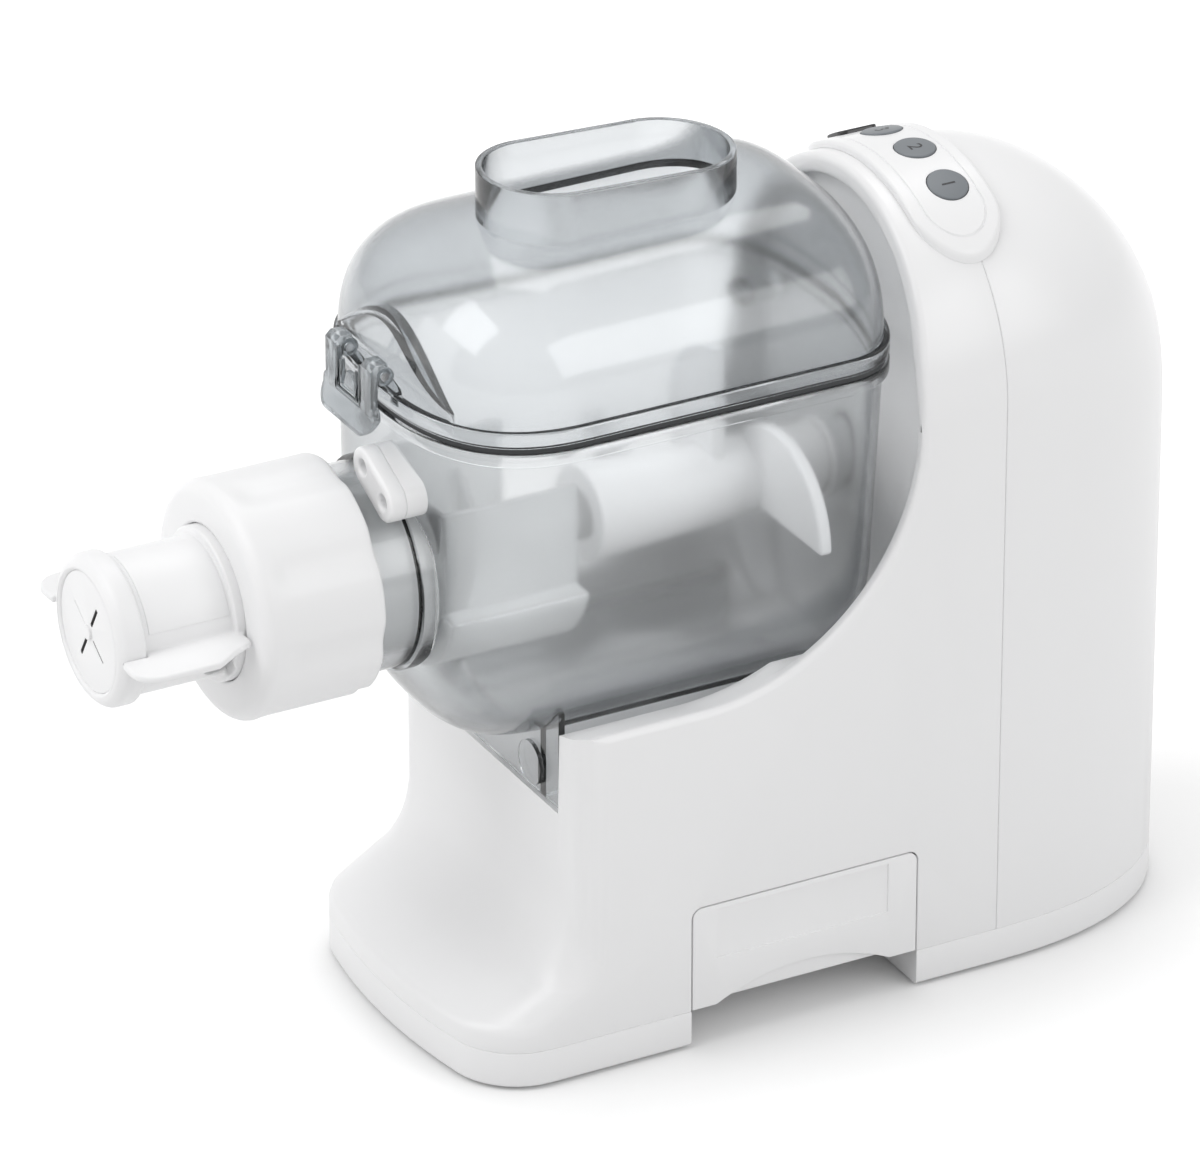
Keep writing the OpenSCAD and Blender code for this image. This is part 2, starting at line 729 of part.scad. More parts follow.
module outlet_collar() color("lightslategray", 0.5) difference() {
    rod_y(collar_r, collar_y, neck_y[0]);
    rod_y(collar_r - collar_wall, collar_y - 1, neck_y[1]);
}

// Section of the open trough: round below, two straight walls above; t inside the surface
module trough_section(t, top) {
    intersection() {
        translate([0, axis_z]) circle(trough_r - t);
        translate([-trough_r, trough_neck - 60]) square([2 * trough_r, 60 - t]);
    }
    translate([-trough_wall + t, trough_neck - 4 - t])
        square([2 * (trough_wall - t), top - trough_neck + 4 + t]);
}

module extrusion_barrel() color("whitesmoke") difference() {
    union() {
        rod_y(collar_r - 5, collar_y - 1, trough_y[0] + 1);
        along_y(trough_y[0], trough_y[1]) trough_section(0, trough_top);
        rod_y(collar_r - 1.5, collar_y - 1.6, collar_y);
    }
    rod_y(blade_r + 0.7, collar_y - 5, trough_y[1] + 5);
    along_y(trough_y[0] + wall, trough_y[1] + 5) trough_section(wall, trough_top + 5);
}

module bowl_bush() color("gainsboro") difference() {
    rod_y(bush_r, 74.4, 79.6);
    rod_y(journal_r + 0.08, 70, 90);
}

module stop_plate_at()
    translate([0, 0, axis_z]) rotate([0, stop_angle, 0]) translate([0, 0, stop_out]) children();

module ring_stop() color("white") stop_plate_at() difference() {
    union() {
        for (x = stop_hole_x)
            translate([x, stop_y[1], 0]) rotate([90, 0, 0]) cylinder(r = stop_r, h = stop_y[1] - stop_y[0]);
        translate([stop_hole_x[0], stop_y[0], -stop_r])
            cube([stop_hole_x[1] - stop_hole_x[0], stop_y[1] - stop_y[0], 2 * stop_r]);
    }
    for (x = stop_hole_x) translate([x, -90, 0]) rotate([90, 0, 0]) cylinder(r = 2.7, h = 30);
}

module stop_screws() color("silver") stop_plate_at() for (x = stop_hole_x) {
    translate([x, stop_y[1], 0]) rotate([90, 0, 0]) cylinder(r = 2.6, h = 2.5);
}

/* Auger */

// Flat paddle square to the shaft, with a round leading edge and a straight trailing edge
module paddle(y, angle) translate([0, 0, axis_z]) rotate([0, -angle, 0]) along_y(y, y + paddle_t)
    intersection() {
        translate(paddle_middle) circle(paddle_r, $fn = 96);
        translate([0, paddle_middle[1]]) square(2 * paddle_r);
    }

module mixing_shaft() color("white") difference() {
    union() {
        translate([0, shaft_y[0], axis_z]) rotate([-90, 0, 0])
            cylinder(r1 = shaft_cone[0], r2 = shaft_cone[1], h = shaft_y[1] - shaft_y[0]);
        rod_y(journal_r, shaft_y[1] - 1, journal_end);
        for (k = [0:len(paddle_y) - 1]) paddle(paddle_y[k], k * 90);
    }
    translate([0, pocket_y + 1, axis_z]) rotate([90, 0, 0])
        cylinder(r = shaft_socket_r, h = pocket_y + 1 - coupling_y + 2, $fn = 6);
}

module extrusion_screw() color("whitesmoke") {
    rod_y(screw_core_r, screw_y[0], screw_y[1]);
    difference() {
        translate([0, flight_y[1], axis_z]) rotate([90, 0, 0])
            linear_extrude(flight_y[1] - flight_y[0], twist = flight_turn, slices = 44)
                translate([8, -4]) square([blade_r - 8, 8]);
        rod_y(4, -160, -10);
    }
}

/* Die and locking ring */

module locking_ring() color("white") difference() {
    union() {
        rod_y(ring_r, ring_y[0] + ring_nose, ring_y[1], $fn = 96);
        translate([0, ring_y[0] + ring_nose, axis_z]) rotate([90, 0, 0])
            cylinder(r1 = ring_r, r2 = ring_r - ring_inset, h = ring_nose, $fn = 96);
    }
    rod_y(collar_r + 0.6, ring_y[0] + 5.5, ring_y[1] + 1);
    rod_y(ring_mouth_r, ring_y[0] - 1, ring_y[1]);
    for (k = [0:flutes - 1]) translate([0, 0, axis_z]) rotate([0, k * 360 / flutes + 10, 0])
        translate([0, ring_y[1] + 1, ring_r + flute_r - flute_depth]) rotate([90, 0, 0])
            cylinder(r = flute_r, h = 36);
}

// Plan of the finger wing: along the die, round at the front corner, drawn in to a point at the ring
wing = concat([[15, cap_rear - 9], [wing_w - 9, cap_rear - 10]],
    [for (k = [0:6]) [wing_w - 9 + 9 * sin(k * 15), cap_rear - 1 - 9 * cos(k * 15)]],
    [[wing_w, -173.5], [wing_w - 2.4, -169.8], [wing_w - 6, -164.5], [wing_w - 8, -160.6],
     [33, -157.6], [15, -157.6]]);

module die_holder() color("white") difference() {
    union() {
        rod_y(collar_r - 0.2, die_flange_y[0], die_flange_y[1]);
        rod_y(26.9, -160, -151);
        rod_y(die_r, cap_rear, -159);
        for (s = [0, 1]) mirror([s, 0, 0]) translate([0, 0, axis_z - 1.5]) linear_extrude(2.6) polygon(wing);
    }
    rod_y(die_bore, cap_rear - 20, -140);
    rod_y(cap_r + 0.3, cap_rear - 20, cap_rear);
    translate([0, -163.5, axis_z]) rotate([0, 125, 0]) cylinder(r = 5, h = 40);
}

module die_cap() color("white") difference() {
    union() {
        rod_y(cap_r, cap_rear - 7, cap_rear);
        translate([0, cap_rear - 7, axis_z]) rotate([90, 0, 0]) cylinder(r1 = cap_r, r2 = cap_r - 3, h = 3);
    }
    rod_y(die_bore, cap_rear - 20, cap_rear + 5);
}

module die_disc() color("white") difference() {
    union() {
        rod_y(die_bore, cap_rear - 9, cap_rear);
        translate([0, cap_rear - 9, axis_z]) rotate([90, 0, 0]) cylinder(r = 2.6, h = cap_rear - 9 - die_y);
    }
    for (k = [0:3]) translate([0, -205, axis_z]) rotate([0, (k % 2 == 0 ? 31 : 34) + k * 90, 0])
        translate([k % 2 == 0 ? -0.7 : -0.3, 0, slot_in]) cube([k % 2 == 0 ? 1.4 : 0.6, 20, slot_l]);
}

module die_seal() color("dimgray") difference() {
    rod_y(35, -145.9, collar_y - 1.8);
    rod_y(30, -150, -140);
}

/* Lid */

function lid_ring(angle, t) = let (s = sin(angle), c = pow(1 - pow(s, dome_n), 1 / dome_n))
    [for (p = pan_ring((bowl_hw - t) * c + 0.02, (dome_front - t) * c, (dome_rear - t) * c,
                       lid_z + flange_t - 1 + (dome_h + 1 - t) * s, plan_n))
        [p[0], p[1] < 0 ? p[1] + 2 * (1 - c) : p[1] - 2 * (1 - c), p[2]]];

lid_angles = [0, 10, 20, 30, 40, 50, 60, 68, 76, 83, 87];

// Bell-shaped recess in the dome's front for the latch, grown by t
module latch_alcove(t) along_y(-140, alcove_y + t) translate([0, lid_z + flange_t - t])
    polygon([for (k = [-12:12]) [k * (alcove[0] + t) / 12, (alcove[1] + 2 * t) * (1 + cos(k * 15)) / 2]]);

// Places of the two hooks of the latch and the ears that they turn on
module at_hooks() for (s = [0, 1]) mirror([s, 0, 0]) children();

// Side view of an ear: round about the pin, with a foot on the lid's rim
module ear_side_view() {
    translate([hinge_y, hinge_z]) circle(ear_r);
    polygon([[hinge_y - ear_r, hinge_z], [hinge_y + ear_r, hinge_z], [-92, lid_z + flange_t + 2],
             [-91, lid_z + 2], [-94.2, lid_z + 2], [-95, lid_z + flange_t + 1]]);
}

module chute_plan(t) {
    for (y = chute_y) translate([0, y]) circle(chute_r - t);
    translate([-chute_r + t, chute_y[0]]) square([2 * (chute_r - t), chute_y[1] - chute_y[0]]);
}

module lid() color("lightslategray", 0.5) difference() {
    union() {
        difference() {
            loft([for (a = lid_angles) lid_ring(a, 0)]);
            latch_alcove(0);
        }
        loft([for (z = [lid_z, lid_z + flange_t])
            pan_ring(bowl_hw + rim_out, rim_front, rim_rear, z, plan_n)]);
        translate([0, 0, lid_z + chute_foot]) linear_extrude(chute_top - lid_z - chute_foot) chute_plan(0);
        at_hooks() along_x(latch_gap + cheek + 0.2, latch_hw - cheek - 0.2) ear_side_view();
    }
    difference() {
        union() {
            loft([for (a = lid_angles) lid_ring(a, clear_t)]);
            loft([for (z = [lid_z - 1, lid_z + flange_t])
                pan_ring(bowl_hw - clear_t, dome_front - clear_t, dome_rear - clear_t, z, plan_n)]);
        }
        latch_alcove(clear_t);
    }
    translate([0, 0, lid_z + 20]) linear_extrude(100) chute_plan(clear_t);
    translate([-30, -60, chute_top]) rotate([chute_tilt, 0, 0]) cube([60, 120, 30]);
    rod_x(hinge_r, -20, 20, hinge_y, hinge_z);
}

module lid_gasket() color("dimgray") difference() {
    loft([for (z = [rim_z + 0.1, lid_z]) pan_ring(bowl_hw + 1, rim_front - 1, rim_rear - 1, z, plan_n)]);
    loft([for (z = [rim_z - 1, lid_z + 1])
        pan_ring(bowl_hw - clear_t, dome_front - clear_t, dome_rear - clear_t, z, plan_n)]);
}

module latch_pin() color("silver") at_hooks() rod_x(hinge_r, latch_gap, latch_hw, hinge_y, hinge_z);

// Side view of an arm: two cheeks over the ear, then straight down
module arm_side_view() {
    translate([hinge_y, hinge_z]) circle(arm_r);
    polygon([[latch_face, 243], [latch_face, 257.6], [latch_face + 2, 259.6], [-97.6, 259.6], [-97.6, 257.2],
             [hinge_y + 2, hinge_z], [hinge_y - 2.6, hinge_z - 2.4], [latch_face + 2.8, 250],
             [latch_face + 2.8, 243]]);
}

// Outline of the tab seen from the front: wider than the arms, with round lower corners
module tab_front_view() {
    translate([-latch_hw, 238]) square([2 * latch_hw, 5.7]);
    for (s = [-1, 1]) translate([s * tab_corner_x, 240.5]) circle(7);
    translate([-tab_corner_x, 233.5]) square([2 * tab_corner_x, 8]);
}

module latch_clip() color("lightslategray", 0.5) difference() {
    union() {
        at_hooks() along_x(latch_gap, latch_hw) arm_side_view();
        intersection() {
            along_y(-115, -95) tab_front_view();
            along_x(-30, 30)
                polygon([[latch_face, 244], [latch_face, 240], [latch_face - 3.8, 232],
                         [latch_face - 1.4, 232], [latch_face + 2.8, 240], [latch_face + 2.8, 244]]);
        }
        along_y(latch_face + 0.4, latch_face + 2.4) polygon([[-5, 243], [5, 243], [2, 250.5], [-2, 250.5]]);
    }
    at_hooks() {
        rod_x(hinge_r + 0.06, latch_gap - 1, latch_hw + 1, hinge_y, hinge_z);
        along_x(latch_gap + cheek, latch_hw - cheek) translate([hinge_y, hinge_z]) circle(ear_r + 0.3);
        translate([latch_gap + cheek, hinge_y - ear_r - 0.3, 240]) cube([ear_room, 20, hinge_z - 240]);
        translate([latch_gap + cheek, hinge_y, 240]) cube([ear_room, 20, hinge_z + ear_r - 240]);
    }
}

/* Drawer */

// Outline of the drawer's front in Y and Z, t inside its opening, with round upper corners
module drawer_plate(t) {
    translate([drawer_y[0] + t, base_top - 1 + t])
        square([drawer_y[1] - drawer_y[0] - 2 * t, drawer_z[1] - base_top + 1 - drawer_corner - t]);
    translate([drawer_y[0] + drawer_corner, base_top])
        square([drawer_y[1] - drawer_y[0] - 2 * drawer_corner, drawer_z[1] - base_top - t]);
    for (y = [drawer_y[0] + drawer_corner, drawer_y[1] - drawer_corner])
        translate([y, drawer_z[1] - drawer_corner]) circle(drawer_corner - t);
}

module drawer_front() color("white") difference() {
    along_x(half_w - wall, half_w) difference() {
        drawer_plate(0.5);
        translate(finger_cut) circle(finger_cut_r, $fn = 96);
    }
    translate([half_w - 0.6, drawer_y[0] + 9.8, 33]) cube([2, drawer_w - 20.6, 19]);
    translate([half_w - 8, drawer_y[0], 0]) cube([10, drawer_w + 1, base_top + 0.3]);
}

module drawer_tray() color("white") difference() {
    translate([-46, drawer_y[0] + 4, 15.4]) cube([half_w - wall + 46, drawer_w - 7, 33]);
    translate([-44, drawer_y[0] + 6, 17.4]) cube([half_w - wall + 42, drawer_w - 11, 40]);
}

module drawer_runners() color("gainsboro") for (s = [0, 1]) translate([0, s * (drawer_y[0] + drawer_y[1]), 0])
    mirror([0, s, 0]) along_x(-50, 60)
        polygon([[drawer_y[0] - wall, base_top], [drawer_y[0] + 8, base_top],
                 [drawer_y[0] + 8, base_top + 0.7], [drawer_y[0] + 3.5, base_top + 0.7],
                 [drawer_y[0] + 3.5, base_top + 20], [drawer_y[0] - wall, base_top + 20]]);

front_housing();
rear_cover();
base_tray();
rubber_feet();
base_screws();
control_pod();
display_window();
switch_carrier();
push_switches();
control_board();
power_board();
cord_gland();
gear_plate_front();
gear_plate_rear();
drive_bearings();
idler_axle();
motor_case();
motor_screws();
plate_screws();
interlock_switch();
shaft_seal();
drawer_runners();
drive_shaft();
drive_gear();
idler_gear();
motor_shaft();
motor_rotor();
motor_pinion();
cooling_fan();
interlock_pin();
mixing_bowl();
outlet_collar();
extrusion_barrel();
bowl_bush();
ring_stop();
stop_screws();
mixing_shaft();
extrusion_screw();
die_holder();
die_disc();
die_cap();
die_seal();
locking_ring();
lid();
lid_gasket();
latch_pin();
latch_clip();
drawer_front();
drawer_tray();
button_1();
button_2();
button_3();
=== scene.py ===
import json
import math

import bpy
from mathutils import Matrix, Vector


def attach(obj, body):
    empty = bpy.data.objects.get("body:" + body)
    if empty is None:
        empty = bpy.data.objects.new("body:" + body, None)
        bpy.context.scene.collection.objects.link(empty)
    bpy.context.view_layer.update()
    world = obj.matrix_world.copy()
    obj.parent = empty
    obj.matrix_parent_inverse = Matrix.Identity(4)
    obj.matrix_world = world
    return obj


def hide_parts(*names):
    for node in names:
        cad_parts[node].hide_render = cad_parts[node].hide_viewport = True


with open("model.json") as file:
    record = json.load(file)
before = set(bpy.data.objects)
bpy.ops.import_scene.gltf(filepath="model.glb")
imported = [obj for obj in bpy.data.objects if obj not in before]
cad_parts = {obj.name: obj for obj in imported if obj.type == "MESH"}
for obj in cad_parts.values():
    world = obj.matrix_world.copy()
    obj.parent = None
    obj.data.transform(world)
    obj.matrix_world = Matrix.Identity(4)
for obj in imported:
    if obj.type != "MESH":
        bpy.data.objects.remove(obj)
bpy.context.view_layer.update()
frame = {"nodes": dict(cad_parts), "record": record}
scene = bpy.context.scene
scene.view_settings.view_transform = "Standard"
nodeBody = {node: body for body, nodes in frame["record"]["behaviour"]["bodies"].items() for node in nodes}
nodeSlot = {row["node"]: row["material_slot"] for row in frame["record"]["subparts"]}
mm = 0.001
print("frame loaded")

cameraView = {
    "place": (2.5206, -1.3712, 1.6314),
    "aim": (-0.0827, 0.0358, 0.1009),
    "lens": 283.5,
    "sensor": 36,
    "farthest": 50,
}


def makeCamera():
    data = bpy.data.cameras.new("camera")
    data.lens = cameraView["lens"]
    data.sensor_width = cameraView["sensor"]
    data.clip_end = cameraView["farthest"]
    camera = bpy.data.objects.new("camera", data)
    scene.collection.objects.link(camera)
    camera.location = cameraView["place"]
    look = Vector(cameraView["aim"]) - Vector(cameraView["place"])
    camera.rotation_euler = look.to_track_quat("-Z", "Y").to_euler()
    scene.camera = camera


# Floor, world and lamps

studio = {
    "floorSize": 12,
    "floorDrop": 0.0002,
    "floorRough": 0.9,
    "floorColour": (0.78, 0.78, 0.78, 1),
    "floorGlow": (0.3, 0.7),  # lifts the floor to white for the camera, close by and far away
    "paintedShadowReach": 0.07,  # the glow fades this near to what stands on the floor, painting a contact shadow there
    "glowReach": (0.3, 1.1),  # where the far glow starts and is full, in metres from the middle
    "backdrop": 1.0,
    "worldLight": 0.55,
    "lamps": {  # place in metres, power in watts, size in metres
        "keyLamp": ((-0.2, -2.2, 2.6), 42, 2.2),
        "sideBox": ((2.3, 1.3, 1.5), 23, 1.9),
        "frontFill": ((-1.1, -2.8, 0.8), 11, 1.8),
        "topBox": ((-1.1, 0.8, 2.8), 16, 1.4),
    },
    "lampAim": (0, 0, 0.15),
}


def litBySight(tree, hidden, seen, target):  # camera, glossy and transmission rays see the second shader
    nodes, links = tree.nodes, tree.links
    path = nodes.new("ShaderNodeLightPath")
    either = nodes.new("ShaderNodeMath")
    either.operation = "MAXIMUM"
    links.new(path.outputs["Is Camera Ray"], either.inputs[0])
    links.new(path.outputs["Is Glossy Ray"], either.inputs[1])
    sight = nodes.new("ShaderNodeMath")
    sight.operation = "MAXIMUM"
    links.new(either.outputs[0], sight.inputs[0])
    links.new(path.outputs["Is Transmission Ray"], sight.inputs[1])
    mix = nodes.new("ShaderNodeMixShader")
    links.new(sight.outputs[0], mix.inputs["Fac"])
    links.new(hidden, mix.inputs[1])
    links.new(seen, mix.inputs[2])
    links.new(mix.outputs["Shader"], target)


def makeFloor():
    bpy.ops.object.select_all(action="DESELECT")
    bpy.ops.mesh.primitive_plane_add(size=studio["floorSize"], location=(0, 0, -studio["floorDrop"]))
    floor = bpy.context.active_object
    floor.name = "floor"
    paint = bpy.data.materials.new("floorPaint")
    paint.use_nodes = True
    tree = paint.node_tree
    plain = tree.nodes["Principled BSDF"]
    plain.inputs["Base Color"].default_value = studio["floorColour"]
    plain.inputs["Roughness"].default_value = studio["floorRough"]
    glow = tree.nodes.new("ShaderNodeEmission")
    place = tree.nodes.new("ShaderNodeTexCoord")
    away = tree.nodes.new("ShaderNodeVectorMath")
    away.operation = "LENGTH"
    tree.links.new(place.outputs["Object"], away.inputs[0])
    rise = tree.nodes.new("ShaderNodeMapRange")
    rise.interpolation_type = "SMOOTHSTEP"
    rise.inputs["From Min"].default_value, rise.inputs["From Max"].default_value = studio["glowReach"]
    rise.inputs["To Min"].default_value, rise.inputs["To Max"].default_value = studio["floorGlow"]
    tree.links.new(away.outputs["Value"], rise.inputs["Value"])
    # ambient occlusion dims the glow beside what stands on the floor: a painted contact shadow
    close = tree.nodes.new("ShaderNodeAmbientOcclusion")
    close.inputs["Distance"].default_value = studio["paintedShadowReach"]
    paintedShadow = tree.nodes.new("ShaderNodeMath")
    paintedShadow.operation = "MULTIPLY"
    tree.links.new(close.outputs["AO"], paintedShadow.inputs[0])
    tree.links.new(rise.outputs["Result"], paintedShadow.inputs[1])
    tree.links.new(paintedShadow.outputs["Value"], glow.inputs["Strength"])
    both = tree.nodes.new("ShaderNodeAddShader")
    tree.links.new(plain.outputs["BSDF"], both.inputs[0])
    tree.links.new(glow.outputs["Emission"], both.inputs[1])
    surface = tree.nodes["Material Output"].inputs["Surface"]
    litBySight(tree, plain.outputs["BSDF"], both.outputs["Shader"], surface)
    floor.data.materials.append(paint)


def addLamp(name, place, power, size):
    data = bpy.data.lights.new(name, "AREA")
    data.energy = power
    data.size = size
    lamp = bpy.data.objects.new(name, data)
    scene.collection.objects.link(lamp)
    lamp.location = place
    lamp.rotation_euler = (Vector(studio["lampAim"]) - Vector(place)).to_track_quat("-Z", "Y").to_euler()


def makeLights():
    world = bpy.data.worlds.new("studioWorld")
    scene.world = world
    world.use_nodes = True
    tree = world.node_tree
    light = tree.nodes["Background"]
    light.inputs["Color"].default_value = (1, 1, 1, 1)
    light.inputs["Strength"].default_value = studio["worldLight"]
    seen = tree.nodes.new("ShaderNodeBackground")
    seen.inputs["Color"].default_value = (1, 1, 1, 1)
    seen.inputs["Strength"].default_value = studio["backdrop"]
    litBySight(tree, light.outputs[0], seen.outputs[0], tree.nodes["World Output"].inputs["Surface"])
    for name, (place, power, size) in studio["lamps"].items():
        addLamp(name, place, power, size)


# Finishes: one look for each material slot of the record, and three more for the lid, the latch and the
# painted shade in the die's slots

looks = {
    "white_gloss": {
        "colour": (0.83, 0.83, 0.835), "rough": 0.3, "grain": 1500, "bump": 0.03, "shift": 0.015,
    },
    "white_satin": {
        "colour": (0.84, 0.84, 0.845), "rough": 0.42, "grain": 1800, "bump": 0.05, "shift": 0.02,
    },
    "inner_plastic": {
        "colour": (0.7, 0.7, 0.7), "rough": 0.5, "grain": 900, "bump": 0.05, "shift": 0.04,
    },
    "button_grey": {
        "colour": (0.17, 0.185, 0.2), "rough": 0.42, "grain": 2200, "bump": 0.06, "shift": 0.04,
    },
    "display_black": {
        "colour": (0.012, 0.012, 0.014), "rough": 0.12, "grain": 700, "bump": 0.01, "shift": 0.1,
    },
    "soft_rubber": {
        "colour": (0.02, 0.022, 0.024), "rough": 0.5, "grain": 1500, "bump": 0.08, "shift": 0.15,
    },
    "board_green": {
        "colour": (0.02, 0.12, 0.05), "rough": 0.4, "grain": 500, "bump": 0.05, "shift": 0.1,
    },
    "dark_parts": {
        "colour": (0.02, 0.02, 0.022), "rough": 0.45, "grain": 900, "bump": 0.08, "shift": 0.1,
    },
    "zinc_steel": {
        "colour": (0.62, 0.63, 0.64), "rough": 0.35, "metal": 1, "grain": 600, "bump": 0.05, "shift": 0.1,
    },
    "bright_steel": {
        "colour": (0.7, 0.71, 0.72), "rough": 0.2, "metal": 1, "grain": 800, "bump": 0.03, "shift": 0.05,
    },
    "bronze_bearing": {
        "colour": (0.72, 0.5, 0.24), "rough": 0.4, "metal": 1, "grain": 900, "bump": 0.1, "shift": 0.1,
    },
    "copper_winding": {
        "colour": (0.6, 0.3, 0.14), "rough": 0.35, "metal": 1, "grain": 500, "bump": 0.2, "shift": 0.2,
    },
    "milky_clear": {
        "colour": (0.9, 0.91, 0.915), "rough": 0.3, "clear": 0.6, "grain": 500, "bump": 0, "shift": 0.03,
        "shade": (0.97, 0.97, 0.97),
    },
    "smoke_clear": {
        "colour": (0.93, 0.94, 0.945), "rough": 0.12, "clear": 1, "grain": 300, "bump": 0, "shift": 0.02,
        "smoke": (0.30, 0.335, 0.36), "density": 6, "rim": (0.2, 0.225, 0.25), "shade": (1, 1, 1),
    },
    "lidClear": {
        "colour": (0.8, 0.82, 0.835), "rough": 0.12, "clear": 1, "grain": 300, "bump": 0, "shift": 0.02,
        "smoke": (0.30, 0.335, 0.36), "density": 14, "rim": (0.14, 0.16, 0.18), "shade": (1, 1, 1),
    },
    # painted shade: a dark finish for the walls of the die's narrow slots, where light hardly reaches
    "slotPaintedShade": {
        "colour": (0.1, 0.1, 0.1), "rough": 0.6, "grain": 900, "bump": 0, "shift": 0.05,
    },
    "latchClear": {
        "colour": (0.5, 0.53, 0.55), "rough": 0.2, "clear": 0.88, "grain": 900, "bump": 0, "shift": 0.03,
        "shade": (0.85, 0.86, 0.87),
    },
}
detail = {"grain": 3, "cloud": 14, "slant": 0.3, "roughSpread": 0.15, "bumpDepth": 0.0002,
          "refraction": 1.49}


def makeFinish(name, look):
    made = bpy.data.materials.new(name)
    made.use_nodes = True
    tree = made.node_tree
    shader = tree.nodes["Principled BSDF"]
    place = tree.nodes.new("ShaderNodeTexCoord")
    grain = tree.nodes.new("ShaderNodeTexNoise")
    grain.inputs["Scale"].default_value = look["grain"]
    grain.inputs["Detail"].default_value = detail["grain"]
    tree.links.new(place.outputs["Object"], grain.inputs["Vector"])
    cloud = tree.nodes.new("ShaderNodeTexNoise")
    cloud.inputs["Scale"].default_value = detail["cloud"]
    tree.links.new(place.outputs["Object"], cloud.inputs["Vector"])
    tone = tree.nodes.new("ShaderNodeMixRGB")
    tone.inputs["Color1"].default_value = (*look["colour"], 1)
    tone.inputs["Color2"].default_value = (*[c * (1 - look["shift"]) for c in look["colour"]], 1)
    tree.links.new(cloud.outputs["Fac"], tone.inputs["Fac"])
    colour = tone.outputs["Color"]
    if "rim" in look:  # tinted plastic looks darker where it is seen at a slant
        slant = tree.nodes.new("ShaderNodeLayerWeight")
        slant.inputs["Blend"].default_value = detail["slant"]
        edge = tree.nodes.new("ShaderNodeMixRGB")
        edge.inputs["Color2"].default_value = (*look["rim"], 1)
        tree.links.new(slant.outputs["Facing"], edge.inputs["Fac"])
        tree.links.new(colour, edge.inputs["Color1"])
        colour = edge.outputs["Color"]
    tree.links.new(colour, shader.inputs["Base Color"])
    wear = tree.nodes.new("ShaderNodeMapRange")
    wear.inputs["To Min"].default_value = look["rough"] * (1 - detail["roughSpread"])
    wear.inputs["To Max"].default_value = look["rough"] * (1 + detail["roughSpread"])
    tree.links.new(grain.outputs["Fac"], wear.inputs["Value"])
    tree.links.new(wear.outputs["Result"], shader.inputs["Roughness"])
    if look["bump"]:
        bump = tree.nodes.new("ShaderNodeBump")
        bump.inputs["Strength"].default_value = look["bump"]
        bump.inputs["Distance"].default_value = detail["bumpDepth"]
        tree.links.new(grain.outputs["Fac"], bump.inputs["Height"])
        tree.links.new(bump.outputs["Normal"], shader.inputs["Normal"])
    shader.inputs["Metallic"].default_value = look.get("metal", 0)
    shader.inputs["Transmission Weight"].default_value = look.get("clear", 0)
    shader.inputs["IOR"].default_value = detail["refraction"]
    if "shade" in look:  # light reaches what lies behind clear plastic
        path = tree.nodes.new("ShaderNodeLightPath")
        through = tree.nodes.new("ShaderNodeBsdfTransparent")
        through.inputs["Color"].default_value = (*look["shade"], 1)
        mix = tree.nodes.new("ShaderNodeMixShader")
        tree.links.new(path.outputs["Is Shadow Ray"], mix.inputs["Fac"])
        tree.links.new(shader.outputs["BSDF"], mix.inputs[1])
        tree.links.new(through.outputs["BSDF"], mix.inputs[2])
        tree.links.new(mix.outputs["Shader"], tree.nodes["Material Output"].inputs["Surface"])
    if "smoke" in look:
        smoke = tree.nodes.new("ShaderNodeVolumeAbsorption")
        smoke.inputs["Color"].default_value = (*look["smoke"], 1)
        smoke.inputs["Density"].default_value = look["density"]
        tree.links.new(smoke.outputs["Volume"], tree.nodes["Material Output"].inputs["Volume"])
    return made


finish = {slot: makeFinish(slot, look) for slot, look in looks.items()}
for node, thing in frame["nodes"].items():
    thing.data.materials.clear()
    thing.data.materials.append(finish[nodeSlot[node]])
print("finishes ready")


# Tools for the pieces; their sizes are in millimetres

smoothing = {"fine": 30, "usual": 38, "coarse": 50}  # degrees past which an edge stays sharp
cleaning = {"merge": 0.002, "flat": 0.4}  # millimetres between points to join, degrees between flat faces


def selectOnly(thing):
    bpy.ops.object.select_all(action="DESELECT")
    thing.select_set(True)
    bpy.context.view_layer.objects.active = thing


def nodeCopy(node, name):  # the CAD node's shape as a piece of its own, with its loose triangles joined up
    piece = bpy.data.objects.new(name, frame["nodes"][node].data.copy())
    scene.collection.objects.link(piece)
    selectOnly(piece)
    if piece.data.has_custom_normals:
        bpy.ops.mesh.customdata_custom_splitnormals_clear()
    bpy.ops.object.mode_set(mode="EDIT")
    bpy.ops.mesh.select_all(action="SELECT")
    bpy.ops.mesh.remove_doubles(threshold=cleaning["merge"] * mm)
    bpy.ops.mesh.dissolve_limited(angle_limit=math.radians(cleaning["flat"]))
    bpy.ops.object.mode_set(mode="OBJECT")
    return piece


def roundEdges(piece, width, where, sharp=smoothing["usual"], segments=3):
    # where() takes an edge's middle, in millimetres, and says whether the edge is rounded
    selectOnly(piece)
    bpy.ops.object.mode_set(mode="EDIT")
    bpy.ops.mesh.select_mode(type="EDGE")
    bpy.ops.mesh.select_all(action="DESELECT")
    bpy.ops.mesh.edges_select_sharp(sharpness=math.radians(sharp))
    bpy.ops.object.mode_set(mode="OBJECT")
    mesh = piece.data
    picked = []
    for edge in mesh.edges:
        if edge.select:
            a, b = (mesh.vertices[v].co / mm for v in edge.vertices)
            if where((a + b) / 2):
                picked.append(edge.index)
    for part in (mesh.vertices, mesh.edges, mesh.polygons):
        part.foreach_set("select", [False] * len(part))
    for index in picked:
        mesh.edges[index].select = True
    bpy.ops.object.mode_set(mode="EDIT")
    if picked:
        bpy.ops.mesh.bevel(offset=width * mm, segments=segments, profile=0.5, affect="EDGES",
                           clamp_overlap=False)
    bpy.ops.object.mode_set(mode="OBJECT")


